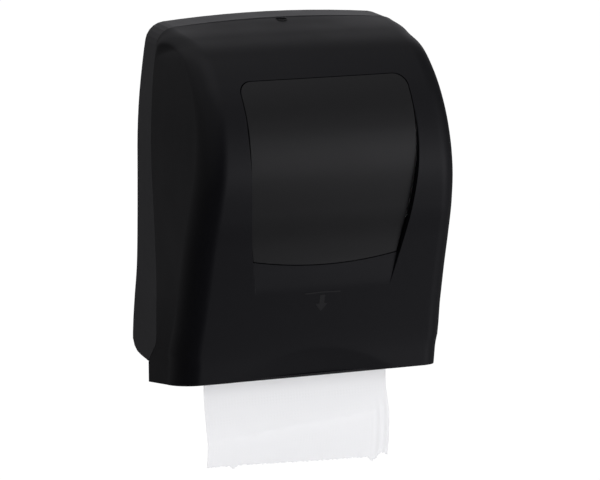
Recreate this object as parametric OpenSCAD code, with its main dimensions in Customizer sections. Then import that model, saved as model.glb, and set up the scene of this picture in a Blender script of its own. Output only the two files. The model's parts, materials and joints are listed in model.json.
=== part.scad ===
// Wall-mounted roll towel dispenser with a hand-pulled cutting drum.
// X runs to the right seen from the front, Y = 0 is the wall and the room lies towards -Y.
// The origin is the centre of the four wall screws. Angles about X are positive when a
// point in front of the axis moves down.

/* [Case] */
// Wall thickness of the rear case
case_wall = 3; // [2.5:0.1:3.5]
// Gap between the rear case and the cover
seam_gap = 0.5; // [0.3:0.1:0.8]
// Distance of the lip inside the cover's outer face
lip_inset = 4; // [3.8:0.1:4.4]
// Sideways distance between wall screws
wall_screw_dx = 160; // [140:5:180]
// Upright distance between wall screws
wall_screw_dz = 200; // [180:5:210]
// Radius of the wall screw holes
wall_screw_r = 2.75; // [2:0.05:3.5]

/* [Cover] */
// Wall thickness of the cover
cover_wall = 2.8; // [2.2:0.1:3.2]
// Width of the groove round the front panel
panel_gap = 0.6; // [0.4:0.1:1]
// Thickness of the front panel
panel_wall = 2.4; // [1.8:0.1:2.8]
// Sideways run of the wall under the crease, for moulding draft
crease_draft = 1.5; // [1:0.1:2]

/* [Paper] */
// Width of the towel
paper_w = 198; // [190:1:200]
// Radius of a full roll
roll_r = 88; // [60:1:88]
// Radius of the bore of the roll's core
core_bore_r = 19; // [18:0.5:20]
// Thickness of the towel
paper_t = 0.5; // [0.4:0.1:0.6]
// Length of towel hanging below the cover
tail_drop = 86; // [60:1:110]

/* [Drum] */
// Radius of the feed drum
drum_r = 38; // [37:0.1:38]
// Wall thickness of the drum's shells
drum_wall = 3; // [2.5:0.1:3.2]
// Direction of the knife at rest, down from the front
knife_dir = 65; // [60:1:70]
// Pitch of the knife's teeth
tooth_pitch = 4; // [3:0.5:6]
// Depth of the knife's teeth
tooth_depth = 3; // [2:0.5:3.5]
// Radius of the pinch roller
pinch_r = 10; // [9:0.5:10]

/* [Hidden] */
$fn = 96;

// Height of the wall screws' centre above the lowest point of the cover
mount_z = 215;

// Half width of the case against height, seen from the front
width_table = [
    [0, 146.5], [44, 146.5], [78, 144.4], [111, 141.6], [152, 140.4], [211, 139.6],
    [252, 139.1], [289, 137.0], [329, 132.5], [352, 129.0], [372, 125.5]
];
// Half width of the cover's front against height
front_table = [
    [0, 141.8], [50, 141.4], [125, 139.4], [170, 138.4], [215, 135.8], [255, 132.4],
    [300, 129.0], [340, 126.5], [372, 124]
];
// Seam between case and cover seen from the side, as depth from the wall and height
seam_pts = [
    [40.2, 343], [41, 321], [46.8, 273], [50.5, 224], [59.3, 177], [67, 129], [77.5, 81],
    [82, 58], [79.5, 46], [55.7, 24.6], [55.5, 3.3]
];
// Index of the seam's last smooth point, where the straight stretches of the heel start
seam_smooth = 8;
// Middle of the cover seen from the side, as depth from the wall and height
nose_pts = [
    [40, 365], [90, 359.5], [136, 349], [168.7, 327], [191, 302.5], [205, 274], [209.8, 240],
    [201.4, 200], [188.9, 165], [175.4, 125], [162.5, 85], [152, 50], [146.7, 19.3]
];
// Place along the seam that each place along the nose is joined to
fan_table = [
    [0, 0], [1, 0.25], [2, 0.6], [3, 1.05], [4, 1.5], [5, 2.05], [6, 2.75], [7, 3.6],
    [8, 4.4], [9, 5.3], [10, 6.3], [11, 8], [11.5, 9], [12, 10]
];
// Radii of the cover's corner across and along, and its crown, against place along the nose
corner_rx_table = [[0, 20], [3, 23], [12, 23]];
corner_ry_table = [[0, 20], [3, 30], [6, 40], [12, 40]];
crown_table = [[0, 4.5], [2.5, 2], [12, 2]];
// Half width and depth of the step beside the front panel, against place along the nose
crease_x_table = [
    [0, 88.5], [3, 88.5], [5, 87.9], [6, 86.6], [7, 83.8], [8, 79.6], [9, 73], [10, 67],
    [12, 60]
];
step_table = [
    [0, 0], [4.2, 0], [5, 2.5], [5.6, 6.2], [6.2, 10], [6.9, 11.6], [7.5, 11],
    [8.1, 8.8], [8.7, 4.6], [9.3, 1], [9.8, 0], [12, 0]
];
// Places along the nose of the panel's top edge and of the ends of its lower edge
panel_top = 2.82;
panel_low = 8.34;
// How far the middle of the panel's lower edge hangs below its ends, along the nose
panel_sag = 0.19;
// Radius of the panel's upper corners, and the same along the nose
panel_corner = 10;
panel_corner_fall = 0.42;

// Corner arc and crown of the case's outline
corner_c = [109, 344.2];
corner_r = 21;
crown_z = 370.16;
crown_big_r = 1219.5;

// Cover hinge
hinge = [-64, 14];
hinge_pin_r = 3;
lug_x = [130.5, 135.5];

// Lock in the top of the cover
lock_y = -48;
barrel_r = 6;
boss_r = 8.6;

// Drum, pinch roller and roll
drum_c = [-52, 75];
drum_half = 100;
disc_t = 3;
axle_r = 5;
running = 0.06;
web_gap = 0.4;
nip_dir = 55;
pinch_c = drum_c + (drum_r + pinch_r + 2 * web_gap + paper_t) * [cos(nip_dir), sin(nip_dir)];
roll_c = [-99, 250];
roll_half = paper_w / 2 - 1;
frame_x = 110;
frame_t = 4;
pivot_l = [-20, 23];
follow_l = [-24.4, 0];

function slope(t, i) =
    let(a = max(i - 1, 0), b = min(i + 1, len(t) - 1))
    (t[b][1] - t[a][1]) / (t[b][0] - t[a][0]);
function below(t, z, i = 0) = i >= len(t) - 2 || z < t[i + 1][0] ? i : below(t, z, i + 1);
// Smooth curve through a table of [key, value] pairs
function smooth(t, key) =
    let(z = min(max(key, t[0][0]), t[len(t) - 1][0]), i = below(t, z))
    let(h = t[i + 1][0] - t[i][0], w = (z - t[i][0]) / h)
    t[i][1] * (1 + 2 * w) * (1 - w) ^ 2 + slope(t, i) * h * w * (1 - w) ^ 2
    + t[i + 1][1] * w * w * (3 - 2 * w) + slope(t, i + 1) * h * w * w * (w - 1);
// Smooth path through points, u counting the points
function path(p, u) =
    let(i = min(floor(u), len(p) - 2), w = u - i)
    let(b = p[i], c = p[i + 1])
    let(a = i > 0 ? p[i - 1] : 2 * b - c, d = i < len(p) - 2 ? p[i + 2] : 2 * c - b)
    (2 * b + (c - a) * w + (2 * a - 5 * b + 4 * c - d) * w ^ 2
    + (3 * b - a - 3 * c + d) * w ^ 3) / 2;
function seam_at(u) =
    let(i = min(floor(u), len(seam_pts) - 2))
    u <= seam_smooth ? path([for (k = [0:seam_smooth]) seam_pts[k]], u)
    : seam_pts[i] + (u - i) * (seam_pts[i + 1] - seam_pts[i]);
function ease(w) = let(c = min(max(w, 0), 1)) c * c * (3 - 2 * c);
function unit(v) = v / norm(v);
function flat(lists) = [for (l = lists) for (v = l) v];

// Side view shapes are drawn as [y, z] and run along X
module along_x(x0, x1) {
    translate([x0, 0, 0]) rotate([90, 0, 90]) linear_extrude(x1 - x0) children();
}
// Front view shapes are drawn as [x, z] and run from the wall side y0 forward to y1
module along_y(y0, y1) {
    translate([0, y0, 0]) rotate([90, 0, 0]) linear_extrude(y0 - y1) children();
}
module rod(c, r, x0, x1) {
    translate([x0, c[0], c[1]]) rotate([0, 90, 0]) cylinder(r = r, h = x1 - x0);
}
module mirrored() {
    children();
    mirror([1, 0, 0]) children();
}
module place() { translate([0, 0, -mount_z]) children(); }
module at_drum() { translate([0, drum_c[0], drum_c[1]]) rotate([knife_dir, 0, 0]) children(); }

// Rear case

side_zs = [for (z = [0:14:336]) z];
function half_outline(inset) = flat([
    [for (z = side_zs) [smooth(width_table, z) - inset, z]],
    [for (a = [8.5:15.3:85]) corner_c + (corner_r - inset) * [cos(a), sin(a)]],
    [for (x = [92:-23:0]) [x, crown_z - x * x / (2 * crown_big_r) - inset]]
]);
function both_sides(half) = concat(
    half, [for (i = [len(half) - 2:-1:0]) [-half[i][0], half[i][1]]]
);
function seam_line(shift, first, last, n) =
    [for (k = [0:n]) let(s = seam_at(first + (last - first) * k / n)) [-s[0] + shift, s[1]]];

module case_side() {
    polygon(concat(
        [[0, 380], [0, 36], [-6, 29.5], [-16, 26], [-28, 25.2], [-55, 25.2]],
        [[-79.2 + seam_gap, 46.7]],
        [for (p = seam_line(seam_gap, 7.5, 0, 22)) p],
        [[-40 + seam_gap, 380]]
    ));
}
module case_void() {
    polygon(concat(
        [[-case_wall, 380], [-case_wall, 38], [-8, 32.2], [-17, 29], [-28, 28.2], [-90, 28.2]],
        [[-90, 380]]
    ));
}
module lip_band() {
    polygon(concat(
        seam_line(seam_gap + 6, 7.3, 0, 16), [[-34, 380], [-46, 380]],
        seam_line(-6, 0, 7.3, 16)
    ));
}
lip_t = 2;
module case_shell() {
    difference() {
        intersection() {
            along_x(-160, 160) case_side();
            along_y(0, -90) polygon(both_sides(half_outline(0)));
        }
        intersection() {
            along_x(-160, 160) case_void();
            along_y(1, -95) polygon(both_sides(half_outline(case_wall)));
        }
    }
}
module case_lip() {
    difference() {
        intersection() {
            along_x(-160, 160) lip_band();
            along_y(0, -95) polygon(both_sides(half_outline(lip_inset - 1.2)));
        }
        along_y(1, -96) polygon(both_sides(half_outline(lip_inset + lip_t)));
        intersection() {
            along_x(-160, 160) polygon(concat(
                seam_line(seam_gap, 7.6, 0, 16), [[-40 + seam_gap, 380], [-60, 380], [-96, 52]]
            ));
            difference() {
                along_y(2, -97) square([400, 1000], center = true);
                along_y(3, -98) polygon(both_sides(half_outline(lip_inset)));
            }
        }
        translate([-13, -50, 340]) cube([26, 20, 40]);
        // Thinner where the cover's top falls away
        difference() {
            translate([-120, -60, 352]) cube([240, 17.4, 30]);
            along_y(3, -98) polygon(both_sides(half_outline(lip_inset + 0.9)));
        }
    }
}
module hinge_lug() {
    rod(hinge, 7, lug_x[0], lug_x[1]);
    along_x(lug_x[0], lug_x[1]) polygon([[-47, 27], [-60, 27], [-69.5, 18.3], [-58.5, 9.7]]);
}
rib_h = 2;
module wall_ribs() {
    intersection() {
        union() {
            for (x = [-128, -52, 48, 124]) translate([x, -case_wall - rib_h, 0])
                cube([4, rib_h + 0.5, 380]);
            for (z = [152, 340]) translate([-150, -case_wall - rib_h, z])
                cube([300, rib_h + 0.5, 4]);
        }
        along_x(-160, 160) case_side();
        along_y(0, -20) polygon(both_sides(half_outline(case_wall / 2)));
    }
}
frame_screw_zs = [50, 128];
arm_screw_zs = [222, 278];
module rear_case() {
    color("#2b2c2e") place() difference() {
        union() {
            case_shell();
            case_lip();
            mirrored() hinge_lug();
            wall_ribs();
            for (x = [-1, 1], z = [-1, 1])
                translate([x * wall_screw_dx / 2, 0, mount_z + z * wall_screw_dz / 2])
                    rotate([90, 0, 0]) cylinder(r = 9, h = case_wall + rib_h);
        }
        for (x = [-1, 1], z = [-1, 1])
            translate([x * wall_screw_dx / 2, 1, mount_z + z * wall_screw_dz / 2])
                rotate([90, 0, 0]) cylinder(r = wall_screw_r, h = 10);
        mirrored() rod(hinge, hinge_pin_r, lug_x[0] - 1, lug_x[1] + 1);
    }
}

// Chassis inside the case

module frame_plate() {
    difference() {
        polygon([
            [-5.2, 37.5], [-5.2, 150], [-14, 160], [-34, 158], [-56, 136], [-84, 116],
            [-99, 100], [-102, 62], [-99, 40], [-90, 31], [-60, 30], [-20, 30.5]
        ]);
        translate(drum_c) circle(9.1);
        translate(pinch_c) rotate(nip_dir) translate([-7.6, -6.2]) square([18, 12.4]);
    }
}
// Leaf spring of the pinch roller, across and along its slide
leaf_x = frame_x + frame_t + 2;
leaf_w = 5;
leaf_y = 8.3;
leaf_t = 0.8;
screw_hole_r = 1.9;
module side_frame() {
    difference() {
        union() {
            along_x(frame_x, frame_x + frame_t) frame_plate();
            translate([frame_x, -8.2, 40]) cube([14, 3, 98]);
            along_x(frame_x + 2, frame_x + 5) polygon([[-5.2, 37.5], [-5.2, 60], [-60, 35]]);
            rod([-95, 44], 4, frame_x - 4, frame_x + 3);
            at_nip() translate([frame_x + 1, leaf_y - 2.8, 12])
                cube([leaf_x - frame_x + leaf_w - 1, 6.4, 9]);
        }
        at_nip() translate([leaf_x - 0.1, leaf_y - 0.1, 11]) cube([leaf_w + 5, leaf_t + 0.2, 12]);
        for (z = frame_screw_zs) translate([frame_x + 9, 0, z]) rotate([90, 0, 0])
            cylinder(r = screw_hole_r, h = 10);
    }
}
module left_side_frame() { color("#4a4c50") place() mirror([1, 0, 0]) side_frame(); }
module right_side_frame() { color("#4a4c50") place() side_frame(); }

module drum_bushes() {
    color("#e8e2d0") place() mirrored() difference() {
        union() {
            rod(drum_c, 9, frame_x - 1.5, frame_x + frame_t + 1.2);
            rod(drum_c, 11.5, frame_x + frame_t + 0.1, frame_x + frame_t + 1.2);
        }
        rod(drum_c, axle_r + running, frame_x - 3, frame_x + frame_t + 4);
    }
}

// Guide behind the towel's way out, with teeth that lie in the gaps between the drum's grips
module exit_guide() {
    color("#3c3e42") place() {
        along_x(-frame_x + 0.1, frame_x - 0.1) polygon([
            [-56, 28.4], [-86.6, 29.4], [-88.2, 44], [-86.6, 44], [-84.6, 32.4], [-56, 31.4]
        ]);
        for (x = [-90:15:90]) along_x(x - 1, x + 1)
            polygon([[-70, 31], [-86.2, 31.5], [-87.4, 43], [-80, 34]]);
    }
}

// Guard in front of the drum that keeps fingers off the knife
guard_r = 46.5;
guard_t = 2.4;
module drum_guard() {
    color("#3c3e42") place() difference() {
        intersection() {
            difference() {
                rod(drum_c, guard_r + guard_t, -frame_x + 0.1, frame_x - 0.1);
                rod(drum_c, guard_r, -frame_x - 1, frame_x + 1);
            }
            along_x(-120, 120) polygon([
                drum_c, drum_c + [-60, 62], [-140, 120], [-140, drum_c[1] - 12],
                drum_c + [-60, -12]
            ]);
        }
        for (x = [-84:28:84]) translate([x - 8, -120, drum_c[1] + 8]) cube([16, 60, 3]);
    }
}
module cross_tie() {
    color("#b8bcc2") place() rod([-13, 38], 3.5, -frame_x, frame_x);
}
module hinge_pins() {
    color("#c4c8cc") place() mirrored() rod(hinge, hinge_pin_r, lug_x[0] - 0.5, 141.6);
}
post_y = -36;
module keeper() {
    color("#c4c8cc") place() {
        translate([-10, -38, 364.4]) cube([20, 22, 2.6]);
        translate([0, post_y, 347.6]) cylinder(r = 2, h = 18);
    }
}
module screw_y(p) {
    translate(p) rotate([90, 0, 0]) {
        cylinder(r = 1.8, h = 3.2);
        difference() {
            translate([0, 0, 3]) cylinder(r = 3.6, h = 2.2);
            translate([-2.4, -0.4, 4.4]) cube([4.8, 0.8, 2]);
            translate([-0.4, -2.4, 4.4]) cube([0.8, 4.8, 2]);
        }
    }
}
module frame_screws() {
    color("#b8bcc2") place() {
        mirrored() for (z = frame_screw_zs) screw_y([frame_x + 9, -5.2, z]);
        for (z = arm_screw_zs) screw_y([-112, -5.2, z]);
        for (z = arm_screw_zs) screw_y([121, -5.2, z]);
    }
}

// Roll arms and hubs

arm_x = 101.4;
arm_t = 3.6;
stub_r = 5;
arm_pin_c = [111, -13];
module arm_plate(rear_y) {
    polygon([
        [rear_y, 228], [rear_y, 272], [-40, 270], [-92, 264], [-108, 262], [-113, 250],
        [-108, 238], [-92, 236], [-40, 230]
    ]);
}
module hub_stub() {
    rod(roll_c, stub_r, arm_x - 14, arm_x + 1);
    rod(roll_c, 8, arm_x + 0.5, arm_x + arm_t + 2);
}
module left_roll_arm() {
    color("#4a4c50") place() mirror([1, 0, 0]) difference() {
        union() {
            along_x(arm_x, arm_x + arm_t) arm_plate(-5.2);
            hub_stub();
            translate([arm_x, -8.2, 214]) cube([18, 3, 72]);
            along_x(arm_x, arm_x + 3) polygon([[-5.2, 214], [-5.2, 286], [-30, 250]]);
        }
        for (z = arm_screw_zs)
            translate([112, 0, z]) rotate([90, 0, 0]) cylinder(r = screw_hole_r, h = 10);
    }
}
module arm_bracket() {
    color("#4a4c50") place() difference() {
        union() {
            translate([105, -8.2, 214]) cube([24, 3, 72]);
            for (z = [214, 280]) {
                translate([arm_pin_c[0], arm_pin_c[1], z]) cylinder(r = 6, h = 6);
                translate([105, arm_pin_c[1], z]) cube([12, 8, 6]);
            }
        }
        translate([arm_pin_c[0], arm_pin_c[1], 210]) cylinder(r = 2.5, h = 80);
        for (z = arm_screw_zs)
            translate([121, 0, z]) rotate([90, 0, 0]) cylinder(r = screw_hole_r, h = 10);
    }
}
module right_roll_arm() {
    color("#4a4c50") place() difference() {
        union() {
            along_x(arm_x, arm_x + arm_t) arm_plate(-19);
            hub_stub();
            translate([arm_pin_c[0], arm_pin_c[1], 220.3]) cylinder(r = 4.6, h = 59.4);
            translate([0, 0, 232]) linear_extrude(36) polygon([
                [arm_x, -26], [arm_x + arm_t, -28], [114, -16.5], [110, -14], [arm_x, -19.2]
            ]);
        }
        translate([arm_pin_c[0], arm_pin_c[1], 210]) cylinder(r = 2.5 + running, h = 80);
    }
}
module arm_pin() {
    color("#c4c8cc") place() translate([arm_pin_c[0], arm_pin_c[1], 212])
        cylinder(r = 2.5, h = 76);
}
module arm_spring() {
    color("#9aa0a6") place() translate([0, 0, 244]) linear_extrude(12) polygon([
        [129.2, -8.4], [129.2, -9.2], [124, -10.2], [117, -27], [106.2, -44], [105.5, -43.6],
        [116, -26.6], [123.2, -9.4], [124.4, -8.4]
    ]);
}
module hub(plug_r) {
    difference() {
        union() {
            rod(roll_c, 24, roll_half + 0.6, arm_x - 0.6);
            rod(roll_c, plug_r, 90, roll_half + 1);
            translate([84, roll_c[0], roll_c[1]]) rotate([0, 90, 0])
                cylinder(r1 = plug_r - 3.5, r2 = plug_r, h = 6.01);
            for (a = [0:60:300]) translate([0, roll_c[0], roll_c[1]]) rotate([a, 0, 0])
                translate([roll_half + 0.6, -0.9, stub_r + 3]) cube([2, 1.8, 15]);
        }
        rod(roll_c, stub_r + running, 83, arm_x + 1);
    }
}
module left_hub() { color("#8f9398") place() mirror([1, 0, 0]) hub(core_bore_r - 0.2); }
module right_hub() { color("#8f9398") place() hub(core_bore_r - 1.8); }
core_t = 1.6;
module roll_core() {
    color("#a98a63") place() difference() {
        rod(roll_c, core_bore_r + core_t, -roll_half, roll_half);
        rod(roll_c, core_bore_r, -roll_half - 1, roll_half + 1);
    }
}
module paper_roll() {
    color("#f1f1f1") place() difference() {
        rod(roll_c, roll_r, -roll_half + 0.2, roll_half - 0.2);
        rod(roll_c, core_bore_r + core_t + 0.05, -roll_half - 1, roll_half + 1);
    }
}

// Towel from the roll, behind the pinch roller, over the drum and out

web_roll_r = roll_r + web_gap + paper_t / 2;
web_pinch_r = pinch_r + web_gap + paper_t / 2;
web_drum_r = drum_r + web_gap + paper_t / 2;
roll_to_pinch = pinch_c - roll_c;
leave_dir = atan2(roll_to_pinch[1], roll_to_pinch[0])
    + acos((web_roll_r - web_pinch_r) / norm(roll_to_pinch));
tail_curl_r = 285;
curl_start = -12;
function arc_pts(c, r, a0, a1, n) =
    [for (k = [0:n]) let(a = a0 + (a1 - a0) * k / n) c + r * [cos(a), sin(a)]];
tail_x = drum_c[0] - web_drum_r;
web_line = concat(
    arc_pts(roll_c, web_roll_r, leave_dir + 12, leave_dir, 3),
    arc_pts(pinch_c, web_pinch_r, leave_dir, nip_dir - 165, 7),
    arc_pts(drum_c, web_drum_r, nip_dir, 180, 10),
    [[tail_x, 24], [tail_x, curl_start]],
    [for (d = [12:12:72]) [tail_x - d * d / (2 * tail_curl_r), curl_start - d]],
    [[tail_x - 9.6, curl_start - 90]]
);
function web_normal(i) =
    let(a = web_line[max(i - 1, 0)], b = web_line[min(i + 1, len(web_line) - 1)])
    let(d = unit(b - a)) [-d[1], d[0]];
function web_side(s) = [for (i = [0:len(web_line) - 1]) web_line[i] + s * web_normal(i)];
module torn_edge() {
    n = 36;
    polygon(concat(
        [for (k = [0:n]) let(x = -paper_w / 2 + k * paper_w / n)
            [x, -tail_drop + 2 - 5.5 * k / n + (k % 2) * 2.6 + 1.2 * sin(k * 67)]],
        [[paper_w / 2, 400], [-paper_w / 2, 400]]
    ));
}
module paper_web() {
    color("#f4f4f5") place() intersection() {
        along_x(-paper_w / 2, paper_w / 2) polygon(concat(
            web_side(paper_t / 2),
            [for (i = [len(web_line) - 1:-1:0]) web_side(-paper_t / 2)[i]]
        ));
        along_y(10, -120) torn_edge();
    }
}

// Pinch roller on sprung carriers

module at_nip() {
    translate([0, pinch_c[0], pinch_c[1]]) rotate([nip_dir, 0, 0]) children();
}
pinch_axle_r = 3;
module nip_carriers() {
    color("#e8e2d0") place() mirrored() difference() {
        at_nip() union() {
            translate([frame_x - 1, -6, -6]) cube([frame_t + 2, 12, 12]);
            translate([frame_x + frame_t + 0.2, -8, -8]) cube([1.6, 16, 16]);
        }
        rod(pinch_c, pinch_axle_r, frame_x - 3, frame_x + frame_t + 4);
    }
}
module nip_springs() {
    color("#9aa0a6") place() mirrored() at_nip() {
        translate([leaf_x, leaf_y, -9]) cube([leaf_w, leaf_t, 30]);
    }
}
module pinch_axle() {
    color("#c4c8cc") place() rod(pinch_c, pinch_axle_r, -frame_x - 6, frame_x + 6);
}
module pinch_roller() {
    color("#4d4d4d") place() difference() {
        union() {
            rod(pinch_c, pinch_r - 1.5, -104, 104);
            for (x = [-98:14:84]) rod(pinch_c, pinch_r, x, x + 12);
        }
        rod(pinch_c, pinch_axle_r + running, -106, 106);
    }
}

// Drum in two shells, in its own frame with the knife slot facing -Y

shell_in_r = drum_r - drum_wall;
screw_xs = [-63, -21, 21, 63];
screw_z = -24;
head_y = 24;
grip_xs = [-84, -42, 0, 42, 84];
grip_w = 12;
module tube_x(r1, r2, x0, x1) {
    difference() {
        rod([0, 0], r1, x0, x1);
        rod([0, 0], r2, x0 - 1, x1 + 1);
    }
}
module grip_grooves() {
    for (x = grip_xs) tube_x(drum_r + 1, drum_r - 1.2, x - grip_w / 2, x + grip_w / 2);
}
// Low and high side of the slot in the drum's own frame
slot_low = -5;
slot_high = 13;
module knife_slot() {
    translate([-95.5, -drum_r - 3, slot_low]) cube([191, 20, slot_high - slot_low]);
}
module drum_axle() {
    color("#c4c8cc") place() rod(drum_c, axle_r, -138, 120);
}
module drum_knife_shell() {
    color("#5b5e63") place() at_drum() difference() {
        union() {
            intersection() {
                tube_x(drum_r, shell_in_r, -drum_half, drum_half);
                translate([-120, -60, -60]) cube([240, 59.85, 120]);
            }
            mirrored() rod([0, 0], drum_r, drum_half - disc_t, drum_half);
            mirrored() rod([0, 0], 9, drum_half - disc_t - 8, drum_half);
            for (x = screw_xs) translate([x, -1, screw_z]) rotate([90, 0, 0])
                cylinder(r = 3.6, h = 25);
        }
        knife_slot();
        grip_grooves();
        rod([0, 0], axle_r, -130, 130);
        rod(pivot_l, 3 + running, -130, 130);
        mirrored() for (a = [100:40:260]) translate([90, 0, 0]) rotate([a, 0, 0])
            translate([0, 0, 22]) rotate([0, 90, 0]) cylinder(r = 6, h = 20);
    }
}
module drum_plain_shell() {
    color("#54575c") place() at_drum() difference() {
        union() {
            intersection() {
                tube_x(drum_r, shell_in_r, -drum_half + disc_t + 0.1, drum_half - disc_t - 0.1);
                translate([-120, 0.15, -60]) cube([240, 60, 120]);
            }
            for (x = screw_xs) intersection() {
                translate([x, 30, screw_z]) rotate([90, 0, 0]) cylinder(r = 5, h = 29.85);
                rod([0, 0], drum_r - 0.5, x - 6, x + 6);
            }
            for (x = [-52, 4, 72]) intersection() {
                tube_x(drum_r - 1, 6, x, x + 2.4);
                translate([-120, 0.15, -60]) cube([240, 60, 120]);
            }
        }
        grip_grooves();
        for (x = screw_xs) translate([x, 60, screw_z]) rotate([90, 0, 0])
            cylinder(r = 3.4, h = 62 - head_y);
    }
}
module drum_grips() {
    color("#2f2f30") place() at_drum() difference() {
        for (x = grip_xs)
            tube_x(drum_r + 0.15, drum_r - 1.15, x - grip_w / 2 + 0.1, x + grip_w / 2 - 0.1);
        translate([-120, -60, slot_low - 1.5]) cube([240, 50, slot_high - slot_low + 3]);
    }
}
module drum_screws() {
    color("#b8bcc2") place() at_drum() for (x = screw_xs) translate([x, head_y, screw_z])
        rotate([90, 0, 0]) difference() {
            cylinder(r = 3.2, h = 2);
            translate([-2.2, -0.4, -1]) cube([4.4, 0.8, 1.8]);
            translate([-0.4, -2.2, -1]) cube([0.8, 4.4, 1.8]);
        }
}

// Knife that swings out through the slot

knife_half = 94;
blade_root = -24;
blade_tip = -34.6;
blade_z = -1.6;
blade_t = 1;
module knife_carrier() {
    color("#7c8086") place() at_drum() {
        along_x(-knife_half, knife_half) polygon([
            [-17.4, 26], [-22.4, 26], [-25.6, 12], [-27.6, 3], [-29.2, blade_z + blade_t + 1.2],
            [-29.2, blade_z + blade_t], [-21.5, blade_z + blade_t], [-21.5, 8], [-17, 20]
        ]);
        rod(pivot_l, 3, -103.9, 103.9);
        rod(pivot_l, 4.3, -knife_half - 2, knife_half + 2);
    }
}
module knife_blade() {
    n = floor(2 * (knife_half - 1) / tooth_pitch);
    x0 = -n * tooth_pitch / 2;
    color("#d4d8dc") place() at_drum() translate([0, 0, blade_z]) linear_extrude(blade_t)
        polygon(concat(
            [[x0, blade_root + 2.5]],
            [for (k = [0:n - 1]) for (s = [0, 0.5])
                [x0 + (k + s) * tooth_pitch, blade_tip + (s == 0 ? tooth_depth : 0)]],
            [[-x0, blade_tip + tooth_depth], [-x0, blade_root + 2.5]]
        ));
}
roller_r = 4;
module knife_follower() {
    color("#7c8086") place() at_drum() {
        difference() {
            union() {
                rod(pivot_l, 6, 101, 104);
                rod(follow_l, 5, 101, 104);
                along_x(101, 104) polygon([
                    pivot_l + [5.6, -2], pivot_l + [-5.9, 1], follow_l + [-5, 0],
                    follow_l + [5, -1]
                ]);
            }
            rod(pivot_l, 3, 100, 105);
        }
        rod(follow_l, roller_r, 103.9, 109);
    }
}
// Fixed cam round the bush; its crest clears the follower's roller by 0.4 mm
cam_low_r = 14;
cam_high_r = norm(follow_l) - roller_r - 0.4;
module knife_cam() {
    color("#e8e2d0") place() difference() {
        along_x(104.6, frame_x - 0.1) translate(drum_c) polygon([
            for (a = [0:6:354]) let(w = ease(1 - abs(a - 140) / 60))
                (cam_low_r + (cam_high_r - cam_low_r) * w) * [cos(a), sin(a)]
        ]);
        rod(drum_c, 9.1, 100, 120);
    }
}

// Crank, return spring and feed knob

crank_r = 15;
post_c = [-30, 140];
post_r = 2.5;
post_x = 130.6;
cap_r = 4;
cap_t = 1.4;
crank_dir = atan2(post_c[1] - drum_c[1], post_c[0] - drum_c[0]);
crank_c = drum_c + crank_r * [cos(crank_dir), sin(crank_dir)];
module crank_disc() {
    color("#4a4c50") place() difference() {
        union() {
            rod(drum_c, 19.5, 116.4, 119.4);
            rod(drum_c, 9, 115.8, 120);
        }
        rod(drum_c, axle_r, 110, 125);
        rod(crank_c, post_r, 110, 125);
        for (a = [60, 120, 180, 240, 300]) translate([0, drum_c[0], drum_c[1]])
            rotate([a + crank_dir, 0, 0]) translate([110, 13.6, 0]) rotate([0, 90, 0])
                cylinder(r = 3, h = 15);
    }
}
module crank_pin() {
    color("#c4c8cc") place() {
        rod(crank_c, post_r, 116.4, post_x);
        rod(crank_c, cap_r, post_x, post_x + cap_t);
    }
}
module spring_post() {
    color("#c4c8cc") place() {
        rod(post_c, post_r, frame_x + frame_t, post_x);
        rod(post_c, cap_r, post_x, post_x + cap_t);
    }
}
coil_r = 4.2;
wire_r = 0.7;
coil_turns = 13;
coil_steps = 8;
spring_x = 126.6;
spring_len = norm(post_c - crank_c);
coil_from = 6.4;
coil_to = spring_len - coil_from;
loop_r = post_r + wire_r + 0.15;
// Centre line of the spring: a loop round the crank pin, the coil and a loop round the post
loop_pts = [for (a = [50:28:330]) [0, loop_r * sin(a), loop_r * cos(a)]];
coil_pts = [for (k = [0:coil_turns * coil_steps]) let(a = 360 * k / coil_steps)
    [coil_r * cos(a), coil_r * sin(a),
     coil_from + (coil_to - coil_from) * k / (coil_turns * coil_steps)]];
spring_pts = concat(
    loop_pts, [[1.6, -0.6, 4.4]], coil_pts, [[1.6, -0.6, spring_len - 4.4]],
    [for (i = [len(loop_pts) - 1:-1:0]) let(p = loop_pts[i]) [0, p[1], spring_len - p[2]]]
);
// Side of the wire that faces away from the coil's axis
function wire_out(p) = abs(norm([p[0], p[1]]) - coil_r) < 0.01 ? [p[0], p[1], 0] : [1, 0, 0];
module return_spring() {
    m = 6;
    last = len(spring_pts) - 1;
    rings = [for (k = [0:last]) let(c = spring_pts[k], out = wire_out(c))
        let(d = unit(spring_pts[min(k + 1, last)] - spring_pts[max(k - 1, 0)]))
        let(v = unit(cross(d, out)), u = cross(v, d))
        [for (j = [0:m - 1]) c + wire_r * (cos(60 * j) * u + sin(60 * j) * v)]];
    color("#9aa0a6") place() translate([spring_x, crank_c[0], crank_c[1]])
        rotate([crank_dir - 90, 0, 0]) polyhedron(
            flat(rings),
            concat(
                [for (i = [0:last - 1]) for (j = [0:m - 1]) let(k = (j + 1) % m)
                    [i * m + j, (i + 1) * m + j, i * m + k]],
                [for (i = [0:last - 1]) for (j = [0:m - 1]) let(k = (j + 1) % m)
                    [i * m + k, (i + 1) * m + j, (i + 1) * m + k]],
                [[for (j = [0:m - 1]) j]],
                [[for (j = [m - 1:-1:0]) last * m + j]]
            )
        );
}
module feed_knob() {
    color("#5b5e63") place() difference() {
        union() {
            rod(drum_c, 20, -133.5, -124);
            rod(drum_c, 9, -138, -116);
        }
        rod(drum_c, axle_r, -140, -110);
        for (a = [0:20:340]) rod(drum_c + 21.6 * [cos(a), sin(a)], 2.6, -135, -122);
        difference() {
            rod(drum_c, 16.5, -135, -130);
            rod(drum_c, 9.5, -136, -129);
        }
    }
}

// Cover: rows run down the nose and columns run across from one seam to the other

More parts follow.
